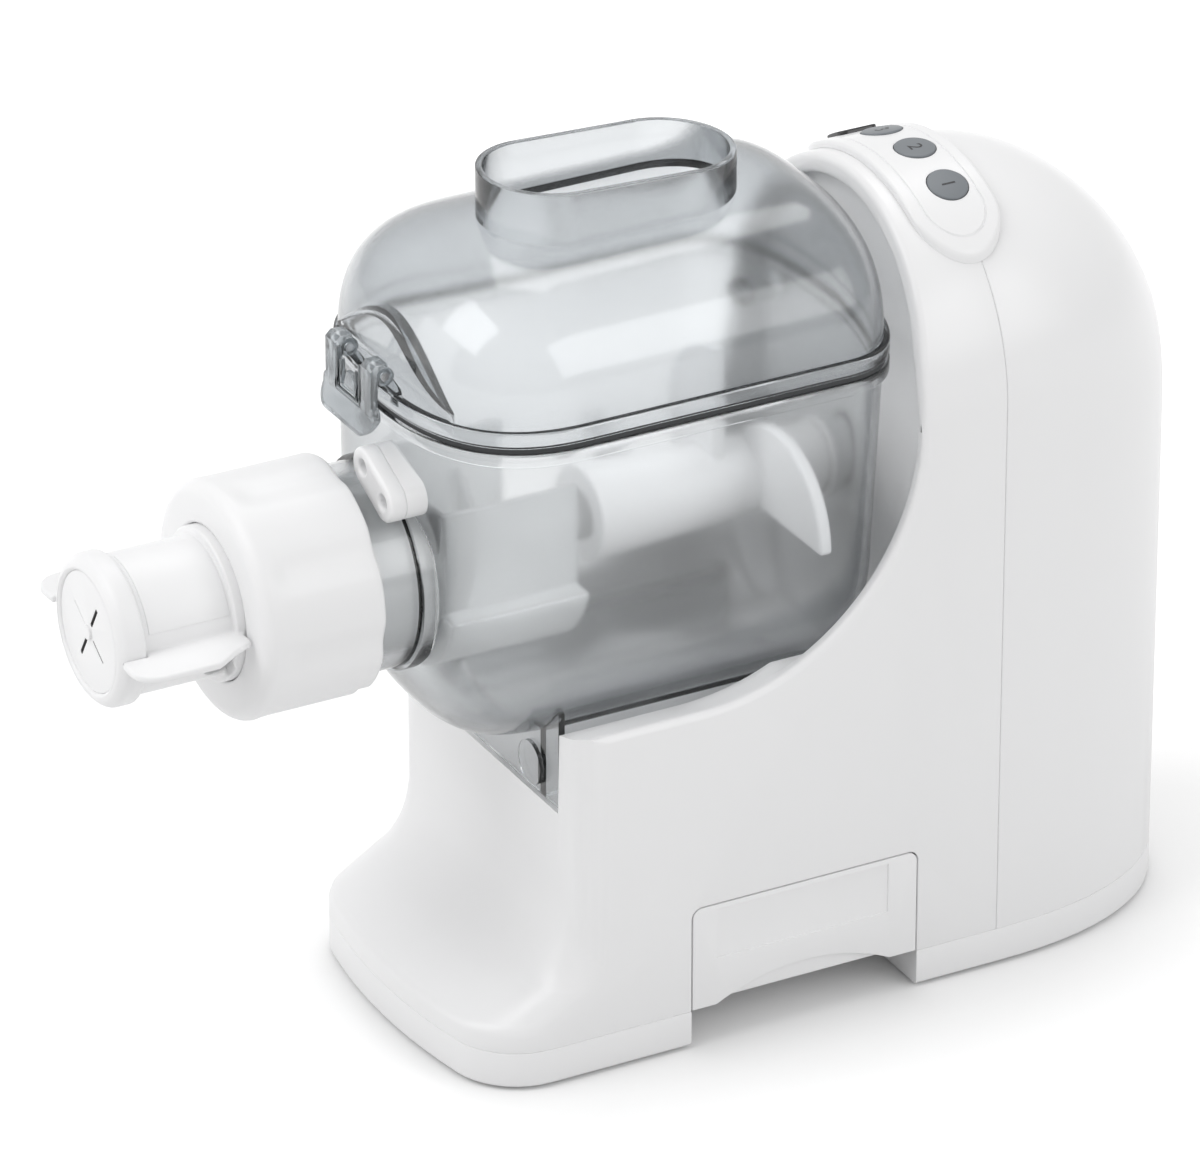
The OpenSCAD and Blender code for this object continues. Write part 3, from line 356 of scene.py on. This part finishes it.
def settle(piece, node, smooth=smoothing["usual"], stands=True, look=None):
    # the piece takes the node's body and slot, and its place too unless stands is off
    selectOnly(piece)
    bpy.ops.object.shade_smooth_by_angle(angle=math.radians(smooth))
    piece.data.materials.clear()
    piece.data.materials.append(finish[look or nodeSlot[node]])
    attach(piece, nodeBody[node])
    if stands:
        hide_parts(node)
    return piece


def softCopy(node, name, rounds, smooth=smoothing["usual"]):  # a width and a place for each round
    piece = nodeCopy(node, name)
    for width, where in rounds:
        roundEdges(piece, width, where)
    return settle(piece, node, smooth)


def everywhere(p):
    return True


def solidOf(name, points, faces):
    mesh = bpy.data.meshes.new(name)
    mesh.from_pydata([Vector(p) * mm for p in points], [], faces)
    piece = bpy.data.objects.new(name, mesh)
    scene.collection.objects.link(piece)
    selectOnly(piece)
    bpy.ops.object.mode_set(mode="EDIT")
    bpy.ops.mesh.select_all(action="SELECT")
    bpy.ops.mesh.normals_make_consistent(inside=False)
    bpy.ops.object.mode_set(mode="OBJECT")
    return piece


def loft(name, rings, ends="capped"):  # through rings of equal count; its ends are capped, open or joined
    count = len(rings[0])
    levels = len(rings)
    faces = []
    for level in range(levels if ends == "joined" else levels - 1):
        here, there = level * count, (level + 1) % levels * count
        for k in range(count):
            near, far = here + (k + 1) % count, there + (k + 1) % count
            faces.append((here + k, near, far, there + k))
    if ends == "capped":
        faces += [tuple(reversed(range(count))), tuple(range((levels - 1) * count, levels * count))]
    return solidOf(name, [p for ring in rings for p in ring], faces)


def barY(name, radius, y0, y1, x=0, z=0, sides=96):
    bpy.ops.object.select_all(action="DESELECT")
    middle = (x * mm, (y0 + y1) / 2 * mm, z * mm)
    bpy.ops.mesh.primitive_cylinder_add(vertices=sides, radius=radius * mm, depth=(y1 - y0) * mm,
                                        location=middle, rotation=(math.pi / 2, 0, 0))
    piece = bpy.context.active_object
    piece.name = name
    bpy.ops.object.transform_apply(location=True, rotation=True, scale=True)
    return piece


def block(name, low, high):
    bpy.ops.object.select_all(action="DESELECT")
    bpy.ops.mesh.primitive_cube_add(size=mm, location=[(a + b) / 2 * mm for a, b in zip(low, high)],
                                    scale=[b - a for a, b in zip(low, high)])
    piece = bpy.context.active_object
    piece.name = name
    bpy.ops.object.transform_apply(location=True, rotation=True, scale=True)
    return piece


def combine(piece, tool, how):  # UNION or DIFFERENCE; the tool is used up
    selectOnly(piece)
    bpy.ops.object.modifier_add(type="BOOLEAN")
    cut = piece.modifiers[-1]
    cut.operation = how
    cut.solver = "EXACT"
    cut.object = tool
    bpy.ops.object.modifier_apply(modifier=cut.name)
    bpy.data.objects.remove(tool)
    return piece


def join(piece, tool):
    return combine(piece, tool, "UNION")


def cut(piece, tool):
    return combine(piece, tool, "DIFFERENCE")


def prismY(name, outline, y0, y1):  # outline in X and Z
    return loft(name, [[(x, y, z) for x, z in outline] for y in (y0, y1)])


def prismX(name, outline, x0, x1):  # outline in Y and Z
    return loft(name, [[(x, y, z) for y, z in outline] for x in (x0, x1)])


def turned(piece, angle, centreZ):  # about the Y axis at a height, from +Z towards +X
    turn = Matrix.Rotation(math.radians(angle), 4, "Y")
    about = Matrix.Translation((0, 0, centreZ * mm))
    piece.data.transform(about @ turn @ about.inverted())
    return piece


# Casing

casing = {
    "archZ": 216.5, "seamY": 111, "baseTop": 14.5, "halfWidth": 68, "rearDepth": 91.5, "rearSquare": 2.3,
    "baseSide": 60, "baseFront": -80, "baseRear": 0.85,  # past these a point of the base is by its outline
    "baseUnder": 1.6, "nearWall": 67, "seamReach": 0.3, "topReach": 0.2, "behindSeam": 113,
    "archEdge": 66.4, "archFront": 105, "archLow": 100,
    "pocketEdge": (59.5, 63), "pocketMouth": 89, "pocketLow": 134,
    "cradleEdge": (48.5, 51.5), "cradleLow": 92, "footY": -52, "doorFace": 67.5, "doorTop": 56,
    "rounds": {"arch": 2.6, "pocket": 1.6, "cradle": 1.2, "seam": 0.6, "base": 0.35, "door": 0.4,
               "under": 1.2, "drawer": 0.25, "tray": 0.8},
}


def archRadius(p):
    return math.hypot(p.x, max(0, p.z - casing["archZ"]))


def byOutline(p):  # near the outer edge of the base, seen from above
    if p.y < casing["seamY"]:
        return abs(p.x) > casing["baseSide"] or p.y < casing["baseFront"]
    wide, deep = abs(p.x) / casing["halfWidth"], (p.y - casing["seamY"]) / casing["rearDepth"]
    return wide ** casing["rearSquare"] + deep ** casing["rearSquare"] > casing["baseRear"]


def archEdge(p):
    return archRadius(p) > casing["archEdge"] and p.y < casing["archFront"] and p.z > casing["archLow"]


def pocketEdge(p):
    low, high = casing["pocketEdge"]
    return low < archRadius(p) < high and p.y < casing["pocketMouth"] and p.z > casing["pocketLow"]


def cradleEdge(p):
    low, high = casing["cradleEdge"]
    return low < abs(p.x) < high and p.z > casing["cradleLow"] and p.y < casing["pocketMouth"]


def seamEdge(p):
    return abs(p.y - casing["seamY"]) < casing["seamReach"] and archRadius(p) > casing["nearWall"]


def atBaseTop(p):
    return abs(p.z - casing["baseTop"]) < casing["topReach"]


def footTopEdge(p):
    return atBaseTop(p) and (abs(p.x) > casing["nearWall"] or p.y < casing["footY"])


def makeCasing():
    rounds = casing["rounds"]
    softCopy("front_housing", "frontShell", [
        (rounds["arch"], archEdge),
        (rounds["pocket"], pocketEdge),
        (rounds["cradle"], cradleEdge),
        (rounds["seam"], seamEdge),
        (rounds["base"], footTopEdge),
        (rounds["door"], lambda p: abs(p.x) > casing["doorFace"] and p.z < casing["doorTop"]),
    ])
    softCopy("rear_cover", "rearShell", [
        (rounds["seam"], seamEdge),
        (rounds["base"], lambda p: atBaseTop(p) and p.y > casing["behindSeam"]),
    ], smoothing["fine"])
    softCopy("base_tray", "baseTray", [
        (rounds["under"], lambda p: p.z < casing["baseUnder"] and byOutline(p)),
        (rounds["base"], atBaseTop),
    ])
    softCopy("drawer_front", "drawerFront", [(rounds["drawer"], everywhere)])
    softCopy("drawer_tray", "drawerTray", [(rounds["tray"], everywhere)])
    print("casing made")


# Controls

pod = {
    "y": 108.5, "end": 16.5, "reach": 32.7, "under": 68.05, "underInset": 8, "top": 70.6, "ringSteps": 48,
    "round": 1.3, "roundTurns": (0, 0.4, 0.8, 1.2, math.pi / 2), "least": 0.01, "merge": 0.03,
    "grooveInset": 4.6, "grooveWidth": 0.9, "grooveDepth": 0.45, "grooveSlope": 0.25,
    "faceInset": 6.8, "faceStep": 1.4, "faceRings": 7,
    "toolFrom": 50, "toolTo": 90, "buttonHole": 7.5, "holeSides": 72, "displayHole": (13.3, 15.3),
    "displayAngle": 120, "displayEdge": 69, "buttonEdge": 68, "edgeRound": 0.5,
    "buttonTop": 71, "buttonAngles": (69, 87.5, 106), "buttonY": 111, "numeral": 7.4, "numeralRise": 0.06,
}


def podRing(inset, radius):  # a stadium laid on the arch, its straight sides in short steps
    end = max(pod["least"], pod["end"] - inset)
    steps = pod["ringSteps"]
    ring = []
    for side, first in ((1, -90), (-1, 90)):
        for k in range(steps + 1):
            turn = math.radians(first + 180 * k / steps)
            ring.append((side * pod["reach"] + end * math.cos(turn), pod["y"] + end * math.sin(turn)))
        for k in range(1, steps):
            ring.append((side * pod["reach"] * (1 - 2 * k / steps), pod["y"] + side * end))
    return [(x, y, casing["archZ"] + math.sqrt(radius * radius - x * x)) for x, y in ring]


def podRows():  # inset and radius on the arch, from the underside over the edge to the middle
    top, bend = pod["top"], pod["round"]
    rows = [(pod["end"], pod["under"]), (pod["underInset"], pod["under"]), (0, pod["under"])]
    rows += [(bend * (1 - math.cos(a)), top - bend + bend * math.sin(a)) for a in pod["roundTurns"]]
    start, end, slope = pod["grooveInset"], pod["grooveInset"] + pod["grooveWidth"], pod["grooveSlope"]
    floor = top - pod["grooveDepth"]
    rows += [(start, top), (start + slope, floor), (end - slope, floor), (end, top)]
    rows += [(pod["faceInset"] + pod["faceStep"] * k, top) for k in range(pod["faceRings"])]
    return rows + [(pod["end"], top)]


def podHole(piece, name, angle, ring):  # cut square to the arch
    tool = loft(name, [[(x, y, z) for x, y in ring] for z in (pod["toolFrom"], pod["toolTo"])])
    turn = Matrix.Rotation(math.radians(90 - angle), 4, "Y")
    tool.data.transform(Matrix.Translation((0, 0, casing["archZ"] * mm)) @ turn)
    cut(piece, tool)


def makePod():
    piece = loft("controlPod", [podRing(*row) for row in podRows()], "open")
    bpy.ops.object.mode_set(mode="EDIT")
    bpy.ops.mesh.select_all(action="SELECT")
    bpy.ops.mesh.remove_doubles(threshold=pod["merge"] * mm)
    bpy.ops.object.mode_set(mode="OBJECT")
    turns = [math.radians(360 * k / pod["holeSides"]) for k in range(pod["holeSides"])]
    radius = pod["buttonHole"]
    circle = [(radius * math.cos(a), pod["buttonY"] + radius * math.sin(a)) for a in turns]
    for angle in pod["buttonAngles"]:
        podHole(piece, "buttonHole", angle, circle)
    wide, deep = (size / 2 for size in pod["displayHole"])
    corners = ((-wide, -deep), (wide, -deep), (wide, deep), (-wide, deep))
    podHole(piece, "displayHole", pod["displayAngle"], [(x, pod["y"] + y) for x, y in corners])
    settle(piece, "control_pod", smoothing["fine"])
    bpy.ops.object.modifier_add(type="WEIGHTED_NORMAL")
    piece.modifiers[-1].keep_sharp = True
    bpy.ops.object.modifier_apply(modifier=piece.modifiers[-1].name)
    window = (pod["edgeRound"], lambda p: archRadius(p) > pod["displayEdge"])
    softCopy("display_window", "displayWindow", [window])


def makeButton(number, angle):
    cap = (pod["edgeRound"], lambda p: archRadius(p) > pod["buttonEdge"])
    softCopy(f"button_{number}", f"button{number}", [cap])
    bpy.ops.object.select_all(action="DESELECT")
    bpy.ops.object.text_add(location=(0, 0, 0))
    numeral = bpy.context.active_object
    numeral.name = f"numeral{number}"
    numeral.data.body = str(number)
    numeral.data.size = pod["numeral"] * mm
    numeral.data.extrude = pod["numeralRise"] * mm
    numeral.data.align_x = "CENTER"
    numeral.data.align_y = "CENTER"
    selectOnly(numeral)
    bpy.ops.object.convert(target="MESH")
    turn = math.radians(angle)
    out = Vector((math.cos(turn), 0, math.sin(turn)))
    along = Vector((math.sin(turn), 0, -math.cos(turn)))
    spot = out * pod["buttonTop"] * mm + Vector((0, pod["buttonY"] * mm, casing["archZ"] * mm))
    place = Matrix.Translation(spot) @ Matrix((along, (0, 1, 0), out)).transposed().to_4x4()
    numeral.data.transform(place)
    numeral.data.materials.clear()
    numeral.data.materials.append(finish["dark_parts"])
    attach(numeral, nodeBody[f"button_{number}"])


# Clear bowl

pan = {"capFront": -45, "capRear": 50, "square": 2.6, "points": 160}
bowl = {
    "halfWidth": 62.5, "bottomZ": 168, "bottomRadius": 60, "front": 49, "rear": 27, "rearGrow": 4,
    "wall": 2.4, "frontRound": 2.4, "rearRound": 2.6, "leastShare": 0.02, "least": 2,
    "levels": 30, "firstTurn": 4, "sideLevels": (20, 45),
    "rimZ": 238, "rimFront": 50.5, "rimRear": 33, "rimOut": 2, "rimDepth": 5, "lipRound": 0.9,
    "lipSteps": 4, "axisZ": 177.7, "neckBore": 31.3, "neckCut": (-125, -80),
    "bossRadius": 37.5, "bossY": (-95.5, -90),
    "bushRadius": 14, "bushCut": (60, 95), "barrelFrom": -90, "barrelRound": 0.8,
    "paddleFrom": 19, "paddleRound": 1.5,
}
pusher = {"radius": 5, "y": (66, 86.7), "x": -48, "z": 221, "sides": 32}
skirt = {
    "front": ((-48.5, -51, 95), (48.5, -48.6, 131)),
    "railX": (-38, 34), "railWidth": 4, "railY": (-50, 60), "railZ": (94.4, 134.4),
    "buttonX": (-30, 30), "buttonY": (-52.5, -50), "buttonZ": 104.5, "buttonRadius": 8, "buttonSides": 48,
}
stop = {"round": 1.2, "footReach": 8, "footRadius": 6.9, "footY": (-99, -91.4), "out": 43.5, "angle": 25,
        "steps": 24}


def axisRadius(p):  # from the axis of the shaft, the barrel and the die
    return math.hypot(p.x, p.z - bowl["axisZ"])


def power(value, exponent):
    return math.copysign(abs(value) ** exponent, value)


def panRing(halfWidth, front, rear, z):  # straight sides between two rounded ends
    ring = []
    for k in range(pan["points"]):
        turn = (k + 0.5) * 2 * math.pi / pan["points"]
        s = power(math.sin(turn), 2 / pan["square"])
        y = pan["capRear"] + rear * s if s > 0 else pan["capFront"] + front * s
        ring.append((halfWidth * power(math.cos(turn), 2 / pan["square"]), y, z))
    return ring


def curvedIn(sink, exponent):  # 1 where the bottom starts, towards 0 at its lowest
    return max(bowl["leastShare"], 1 - sink ** exponent) ** (1 / exponent)


def bowlRing(z, inset):
    least = bowl["least"]
    drop = max(0, bowl["bottomZ"] - z)
    low = bowl["bottomRadius"] - inset
    grow = max(0, z - bowl["bottomZ"]) / (bowl["rimZ"] - bowl["bottomZ"])
    widen = (bowl["halfWidth"] - bowl["bottomRadius"]) * grow
    halfWidth = math.sqrt(max(least * least, low * low - drop * drop)) if drop else low + widen
    front = bowl["front"] * curvedIn(drop / low, bowl["frontRound"]) - inset
    rear = (bowl["rear"] + bowl["rearGrow"] * grow) * curvedIn(drop / low, bowl["rearRound"]) - inset
    return panRing(halfWidth, max(least, front), max(least, rear), z)


def bowlShape(name, inset, top):
    low = bowl["bottomRadius"] - inset
    first, steps = bowl["firstTurn"], bowl["levels"]
    turns = [math.radians(first + k * (90 - first) / steps) for k in range(steps + 1)]
    heights = [bowl["bottomZ"] - low * math.cos(turn) for turn in turns]
    heights += [bowl["bottomZ"] + rise for rise in bowl["sideLevels"]]
    return loft(name, [bowlRing(z, inset) for z in heights + [top]])


def lipShape(name, low, high):  # a lip with round edges, for the bowl's rim and the lid's flange
    soft, steps = bowl["lipRound"], bowl["lipSteps"]
    rings = []
    for z, flip in ((low, 1), (high, -1)):
        for k in range(steps + 1):
            turn = math.radians(90 * k / steps)
            rings.append((z + flip * soft * (1 - math.cos(turn)), soft * (1 - math.sin(turn))))
    rings.sort()
    out = bowl["halfWidth"] + bowl["rimOut"]
    return loft(name, [panRing(out - shrink, bowl["rimFront"] - shrink, bowl["rimRear"] - shrink, z)
                       for z, shrink in rings])


def stopFoot():  # a stadium across the bowl's face, turned from the top
    outline = []
    for side, first in ((1, -90), (-1, 90)):
        for k in range(stop["steps"] + 1):
            turn = math.radians(first + 180 * k / stop["steps"])
            outline.append((side * stop["footReach"] + stop["footRadius"] * math.cos(turn),
                            bowl["axisZ"] + stop["out"] + stop["footRadius"] * math.sin(turn)))
    return turned(prismY("stopFoot", outline, *stop["footY"]), stop["angle"], bowl["axisZ"])


def addSkirt(piece):
    join(piece, block("skirtFront", *skirt["front"]))
    (y0, y1), (z0, z1) = skirt["railY"], skirt["railZ"]
    for x in skirt["railX"]:
        join(piece, block("skirtRail", (x, y0, z0), (x + skirt["railWidth"], y1, z1)))
    for x in skirt["buttonX"]:
        join(piece, barY("skirtButton", skirt["buttonRadius"], *skirt["buttonY"], x, skirt["buttonZ"],
                         skirt["buttonSides"]))


def makeBowl():
    piece = bowlShape("mixingBowl", 0, bowl["rimZ"])
    join(piece, lipShape("bowlRim", bowl["rimZ"] - bowl["rimDepth"], bowl["rimZ"]))
    join(piece, barY("neckBoss", bowl["bossRadius"], *bowl["bossY"], 0, bowl["axisZ"]))
    join(piece, barY("pinPusher", pusher["radius"], *pusher["y"], pusher["x"], pusher["z"],
                     pusher["sides"]))
    addSkirt(piece)
    cut(piece, bowlShape("bowlInside", bowl["wall"], bowl["rimZ"] + 1))
    cut(piece, barY("neckHole", bowl["neckBore"], *bowl["neckCut"], 0, bowl["axisZ"]))
    cut(piece, barY("bushHole", bowl["bushRadius"], *bowl["bushCut"], 0, bowl["axisZ"]))
    settle(piece, "mixing_bowl", smoothing["fine"])
    softCopy("outlet_collar", "outletCollar", [])
    barrelEdges = (bowl["barrelRound"], lambda p: p.y > bowl["barrelFrom"])
    softCopy("extrusion_barrel", "extrusionBarrel", [barrelEdges])
    plate = nodeCopy("ring_stop", "ringStop")
    roundEdges(plate, stop["round"], everywhere)
    join(plate, stopFoot())
    settle(plate, "ring_stop")
    paddleEdges = (bowl["paddleRound"], lambda p: axisRadius(p) > bowl["paddleFrom"])
    softCopy("mixing_shaft", "mixingShaft", [paddleEdges])
    print("bowl made")


# Clear lid

lid = {
    "z": 240, "flange": 6, "dome": 47, "front": 49.3, "rear": 31, "square": 2.5, "levels": 34, "top": 311,
    "least": 0.02, "lastTurn": 89.4, "topShift": 2, "mouthTop": 246,
    "chuteY": (-29, 16), "chuteRadius": 24, "chuteSteps": 40, "chuteFoot": 46, "chuteSpare": 6,
    "boreSpare": 20, "topTilt": -2.6, "topCut": ((-30, 0, 0), (30, 120, 30)), "topCutY": -60,
    "rimFrom": 304, "rimRound": 0.5,
    "alcoveHalf": 54, "alcoveHigh": 20.8, "alcoveY": -87, "alcoveFrom": -140, "alcoveSteps": 32,
    "hingeY": -98.7, "hingeZ": 254.8, "pinHole": 1.5, "pinReach": 20, "pinSides": 32,
    "earX": (10.8, 15), "earRadius": 2.6, "earStep": 15,
    "earFoot": ((-95, 247), (-94.2, 242), (-91, 242), (-92, 248)),
    "gasketOut": 1, "gasketLift": 0.1,
}


def lidRing(angle, inset):
    s = math.sin(math.radians(angle))
    c = max(0, 1 - s ** lid["square"]) ** (1 / lid["square"])
    z = lid["z"] + lid["flange"] - 1 + (lid["dome"] + 1 - inset) * s
    ring = panRing((bowl["halfWidth"] - inset) * c + lid["least"], (lid["front"] - inset) * c,
                   (lid["rear"] - inset) * c, z)
    shift = lid["topShift"] * (1 - c)
    return [(x, y + (shift if y < 0 else -shift), z) for x, y, z in ring]


def lidDome(name, inset):
    steps = lid["levels"]
    angles = [lid["lastTurn"] * math.sin(math.radians(90 * k / steps)) for k in range(steps + 1)]
    return loft(name, [lidRing(angle, inset) for angle in angles])


def latchAlcove(name, grow):  # bell-shaped recess for the latch
    steps = lid["alcoveSteps"]
    low, high = lid["z"] + lid["flange"] - grow, lid["alcoveHigh"] + 2 * grow
    half = lid["alcoveHalf"] + grow
    outline = [(half * k / steps, low + high * (1 + math.cos(math.pi * k / steps)) / 2)
               for k in range(-steps, steps + 1)]
    return prismY(name, outline, lid["alcoveFrom"], lid["alcoveY"] + grow)


def chuteTube(name, radius, z0, z1):
    steps = lid["chuteSteps"]
    rings = []
    for z in (z0, z1):
        ring = []
        for middle, first in ((lid["chuteY"][1], 0), (lid["chuteY"][0], 180)):
            for k in range(steps + 1):
                turn = math.radians(first + 180 * k / steps)
                ring.append((radius * math.cos(turn), middle + radius * math.sin(turn), z))
        rings.append(ring)
    return loft(name, rings)


def hingeBar():  # a round bar along X on the latch's hinge
    bpy.ops.object.select_all(action="DESELECT")
    bpy.ops.mesh.primitive_cylinder_add(vertices=lid["pinSides"], radius=lid["pinHole"] * mm,
                                        depth=2 * lid["pinReach"] * mm,
                                        location=(0, lid["hingeY"] * mm, lid["hingeZ"] * mm),
                                        rotation=(0, math.pi / 2, 0))
    bpy.ops.object.transform_apply(location=True, rotation=True, scale=True)
    return bpy.context.active_object


def insideRings(levels):  # the plain opening inside the lid's foot and its gasket
    wall = bowl["wall"]
    return [panRing(bowl["halfWidth"] - wall, lid["front"] - wall, lid["rear"] - wall, z) for z in levels]


def addEars(piece):
    turns = [math.radians(a) for a in range(0, 181, lid["earStep"])]
    ear = [(lid["hingeY"] + lid["earRadius"] * math.cos(a), lid["hingeZ"] + lid["earRadius"] * math.sin(a))
           for a in turns]
    ear += lid["earFoot"]
    for side in (1, -1):
        join(piece, prismX("ear", ear, *sorted(side * x for x in lid["earX"])))
    cut(piece, hingeBar())


def makeLid():
    piece = lidDome("clearLid", 0)
    cut(piece, latchAlcove("alcove", 0))
    join(piece, lipShape("lidFlange", lid["z"], lid["z"] + lid["flange"]))
    join(piece, chuteTube("chute", lid["chuteRadius"], lid["z"] + lid["chuteFoot"],
                          lid["top"] + lid["chuteSpare"]))
    inside = lidDome("lidInside", bowl["wall"])
    join(inside, loft("lidMouth", insideRings((lid["z"] - 1, lid["mouthTop"]))))
    cut(inside, latchAlcove("alcoveBack", bowl["wall"]))
    cut(piece, inside)
    cut(piece, chuteTube("chuteInside", lid["chuteRadius"] - bowl["wall"], lid["z"] + lid["boreSpare"],
                         lid["top"] + lid["boreSpare"]))
    topCut = block("chuteTop", *lid["topCut"])
    topCut.data.transform(Matrix.Translation((0, lid["topCutY"] * mm, lid["top"] * mm))
                          @ Matrix.Rotation(math.radians(lid["topTilt"]), 4, "X"))
    cut(piece, topCut)
    roundEdges(piece, lid["rimRound"], lambda p: p.z > lid["rimFrom"])
    addEars(piece)
    settle(piece, "lid", smoothing["fine"], look="lidClear")
    out = lid["gasketOut"]
    gasket = loft("lidGasket", [panRing(bowl["halfWidth"] + out, bowl["rimFront"] - out,
                                        bowl["rimRear"] - out, z)
                                for z in (bowl["rimZ"] + lid["gasketLift"], lid["z"])])
    cut(gasket, loft("gasketInside", insideRings((bowl["rimZ"] - 1, lid["z"] + 1))))
    settle(gasket, "lid_gasket")
    print("lid made")


# Latch: the clip's shape with nested U ribs between its arms

latch = {"ribs": ((8.7, 7.5, 257, 241.5), (6.0, 5.0, 253.5, 243.2)), "ribY": (-104.3, -102.4),
         "round": 0.35, "roundSharp": 50, "roundSteps": 2}


def makeLatch():
    piece = nodeCopy("latch_clip", "latchClip")
    for outer, inner, top, bottom in latch["ribs"]:
        floor = bottom + outer - inner
        rib = [(-outer, bottom), (outer, bottom), (outer, top), (inner, top), (inner, floor),
               (-inner, floor), (-inner, top), (-outer, top)]
        join(piece, prismY("rib", rib, *latch["ribY"]))
    roundEdges(piece, latch["round"], everywhere, latch["roundSharp"], latch["roundSteps"])
    settle(piece, "latch_clip", look="latchClear")


# Locking ring: a soft fluted nut

nut = {
    "radius": 41.6, "front": -157, "rear": -111.5, "bore": 36.6, "mouth": 27.2, "shoulder": -151.5,
    "round": 5, "roundSteps": 12, "roundBack": 0.4, "dish": (1, 0.3),
    "mouthRound": 1, "mouthTurns": (0.5, 1.05), "mouthEdge": 1.2,
    "sideSteps": 16, "rearEdge": 1.2, "rearRound": 0.35, "rearShare": 0.9, "boreEdge": 0.4,
    "flutes": 8, "fluteTurn": 10, "fluteDepth": 1.6, "fluteSpan": 13, "fluteStart": -152, "fluteFull": -143,
    "steps": 240,
}


def nutProfile():  # radius, place along the axis and how much of the flute shows there
    r, front, rear, bend, bore = nut["radius"], nut["front"], nut["rear"], nut["round"], nut["bore"]
    mouth, soft, edge = nut["mouth"], nut["mouthRound"], nut["mouthEdge"]
    rows = [(mouth, nut["shoulder"], 0), (mouth, front + edge, 0)]
    rows += [(mouth + soft - math.cos(a), front + soft - math.sin(a), 0) for a in nut["mouthTurns"]]
    rows += [(mouth + edge, front, 0), (r - bend - nut["dish"][0], front + nut["dish"][1], 0)]
    start = front + nut["roundBack"]
    for k in range(nut["roundSteps"] + 1):
        a = math.radians(90 * k / nut["roundSteps"])
        rows.append((r - bend + bend * math.sin(a), start + bend * (1 - math.cos(a)), 0))
    start += bend
    for k in range(1, nut["sideSteps"] + 1):
        y = start + (rear - nut["rearEdge"] - start) * k / nut["sideSteps"]
        share = min(1, max(0, (y - nut["fluteStart"]) / (nut["fluteFull"] - nut["fluteStart"])))
        rows.append((r, y, share * share * (3 - 2 * share)))
    rows += [(r - nut["rearRound"], rear - nut["rearRound"], 1),
             (r - nut["rearEdge"], rear, nut["rearShare"]),
             (bore + nut["boreEdge"], rear, 0), (bore, rear - nut["boreEdge"], 0), (bore, nut["shoulder"], 0)]
    return rows


def fluteShape(angle):  # 1 at the middle of a flute, 0 away from it
    step = 360 / nut["flutes"]
    away = abs((angle - nut["fluteTurn"] + step / 2) % step - step / 2)
    return 0.5 + 0.5 * math.cos(math.pi * away / nut["fluteSpan"]) if away < nut["fluteSpan"] else 0


def makeNut():
    rings = []
    for k in range(nut["steps"]):
        angle = 360 * k / nut["steps"]
        sine, cosine = math.sin(math.radians(angle)), math.cos(math.radians(angle))
        dip = nut["fluteDepth"] * fluteShape(angle)
        rings.append([((r - dip * share) * sine, y, bowl["axisZ"] + (r - dip * share) * cosine)
                      for r, y, share in nutProfile()])
    settle(loft("lockingRing", rings, "joined"), "locking_ring", smoothing["coarse"])


# Die: tube with its raised panel, cap and disc, with painted shade in the disc's slots

die = {
    "radius": 24.2, "panelY": (-190.5, -161), "panelAngles": (-6, 74), "panelStep": 2, "panelRaise": 0.4,
    "panelSink": 0.5, "panelEdge": 0.2, "panelRound": 0.3, "slots": (3, 13), "slotFacing": 0.3,
    "capRound": 1.4, "discRound": 0.3, "holderRound": 0.9, "holderFrom": 23.5,
}


def makePanel():
    low, high = die["radius"] - die["panelSink"], die["radius"] + die["panelRaise"]
    front, rear = die["panelY"]
    first, last = die["panelAngles"]
    rings = []
    for angle in range(first, last + 1, die["panelStep"]):
        turn = math.radians(angle)
        rings.append([(r * math.sin(turn), y, bowl["axisZ"] + r * math.cos(turn))
                      for r, y in ((low, front), (high, front), (high, rear), (low, rear))])
    panel = loft("dieLabel", rings)
    roundEdges(panel, die["panelRound"], lambda p: axisRadius(p) > die["radius"] + die["panelEdge"])
    settle(panel, "die_holder", stands=False)


def makeDie():
    softCopy("die_cap", "dieCap", [(die["capRound"], everywhere)])
    disc = softCopy("die_disc", "dieDisc", [(die["discRound"], everywhere)])
    # the slot walls take the painted shade finish, standing in for the shadow deep in the slots
    disc.data.materials.append(finish["slotPaintedShade"])
    low, high = die["slots"]
    for face in disc.data.polygons:
        if low < axisRadius(face.center / mm) < high and abs(face.normal.y) < die["slotFacing"]:
            face.material_index = 1
    softCopy("die_holder", "dieHolder", [(die["holderRound"], lambda p: axisRadius(p) > die["holderFrom"])])
    makePanel()
    print("nut and die made")


makeCamera()
makeFloor()
makeLights()
print("stage ready")
makeCasing()
makePod()
for number, angle in enumerate(pod["buttonAngles"], 1):
    makeButton(number, angle)
makeBowl()
makeLid()
makeLatch()
makeNut()
makeDie()
print("pieces made")
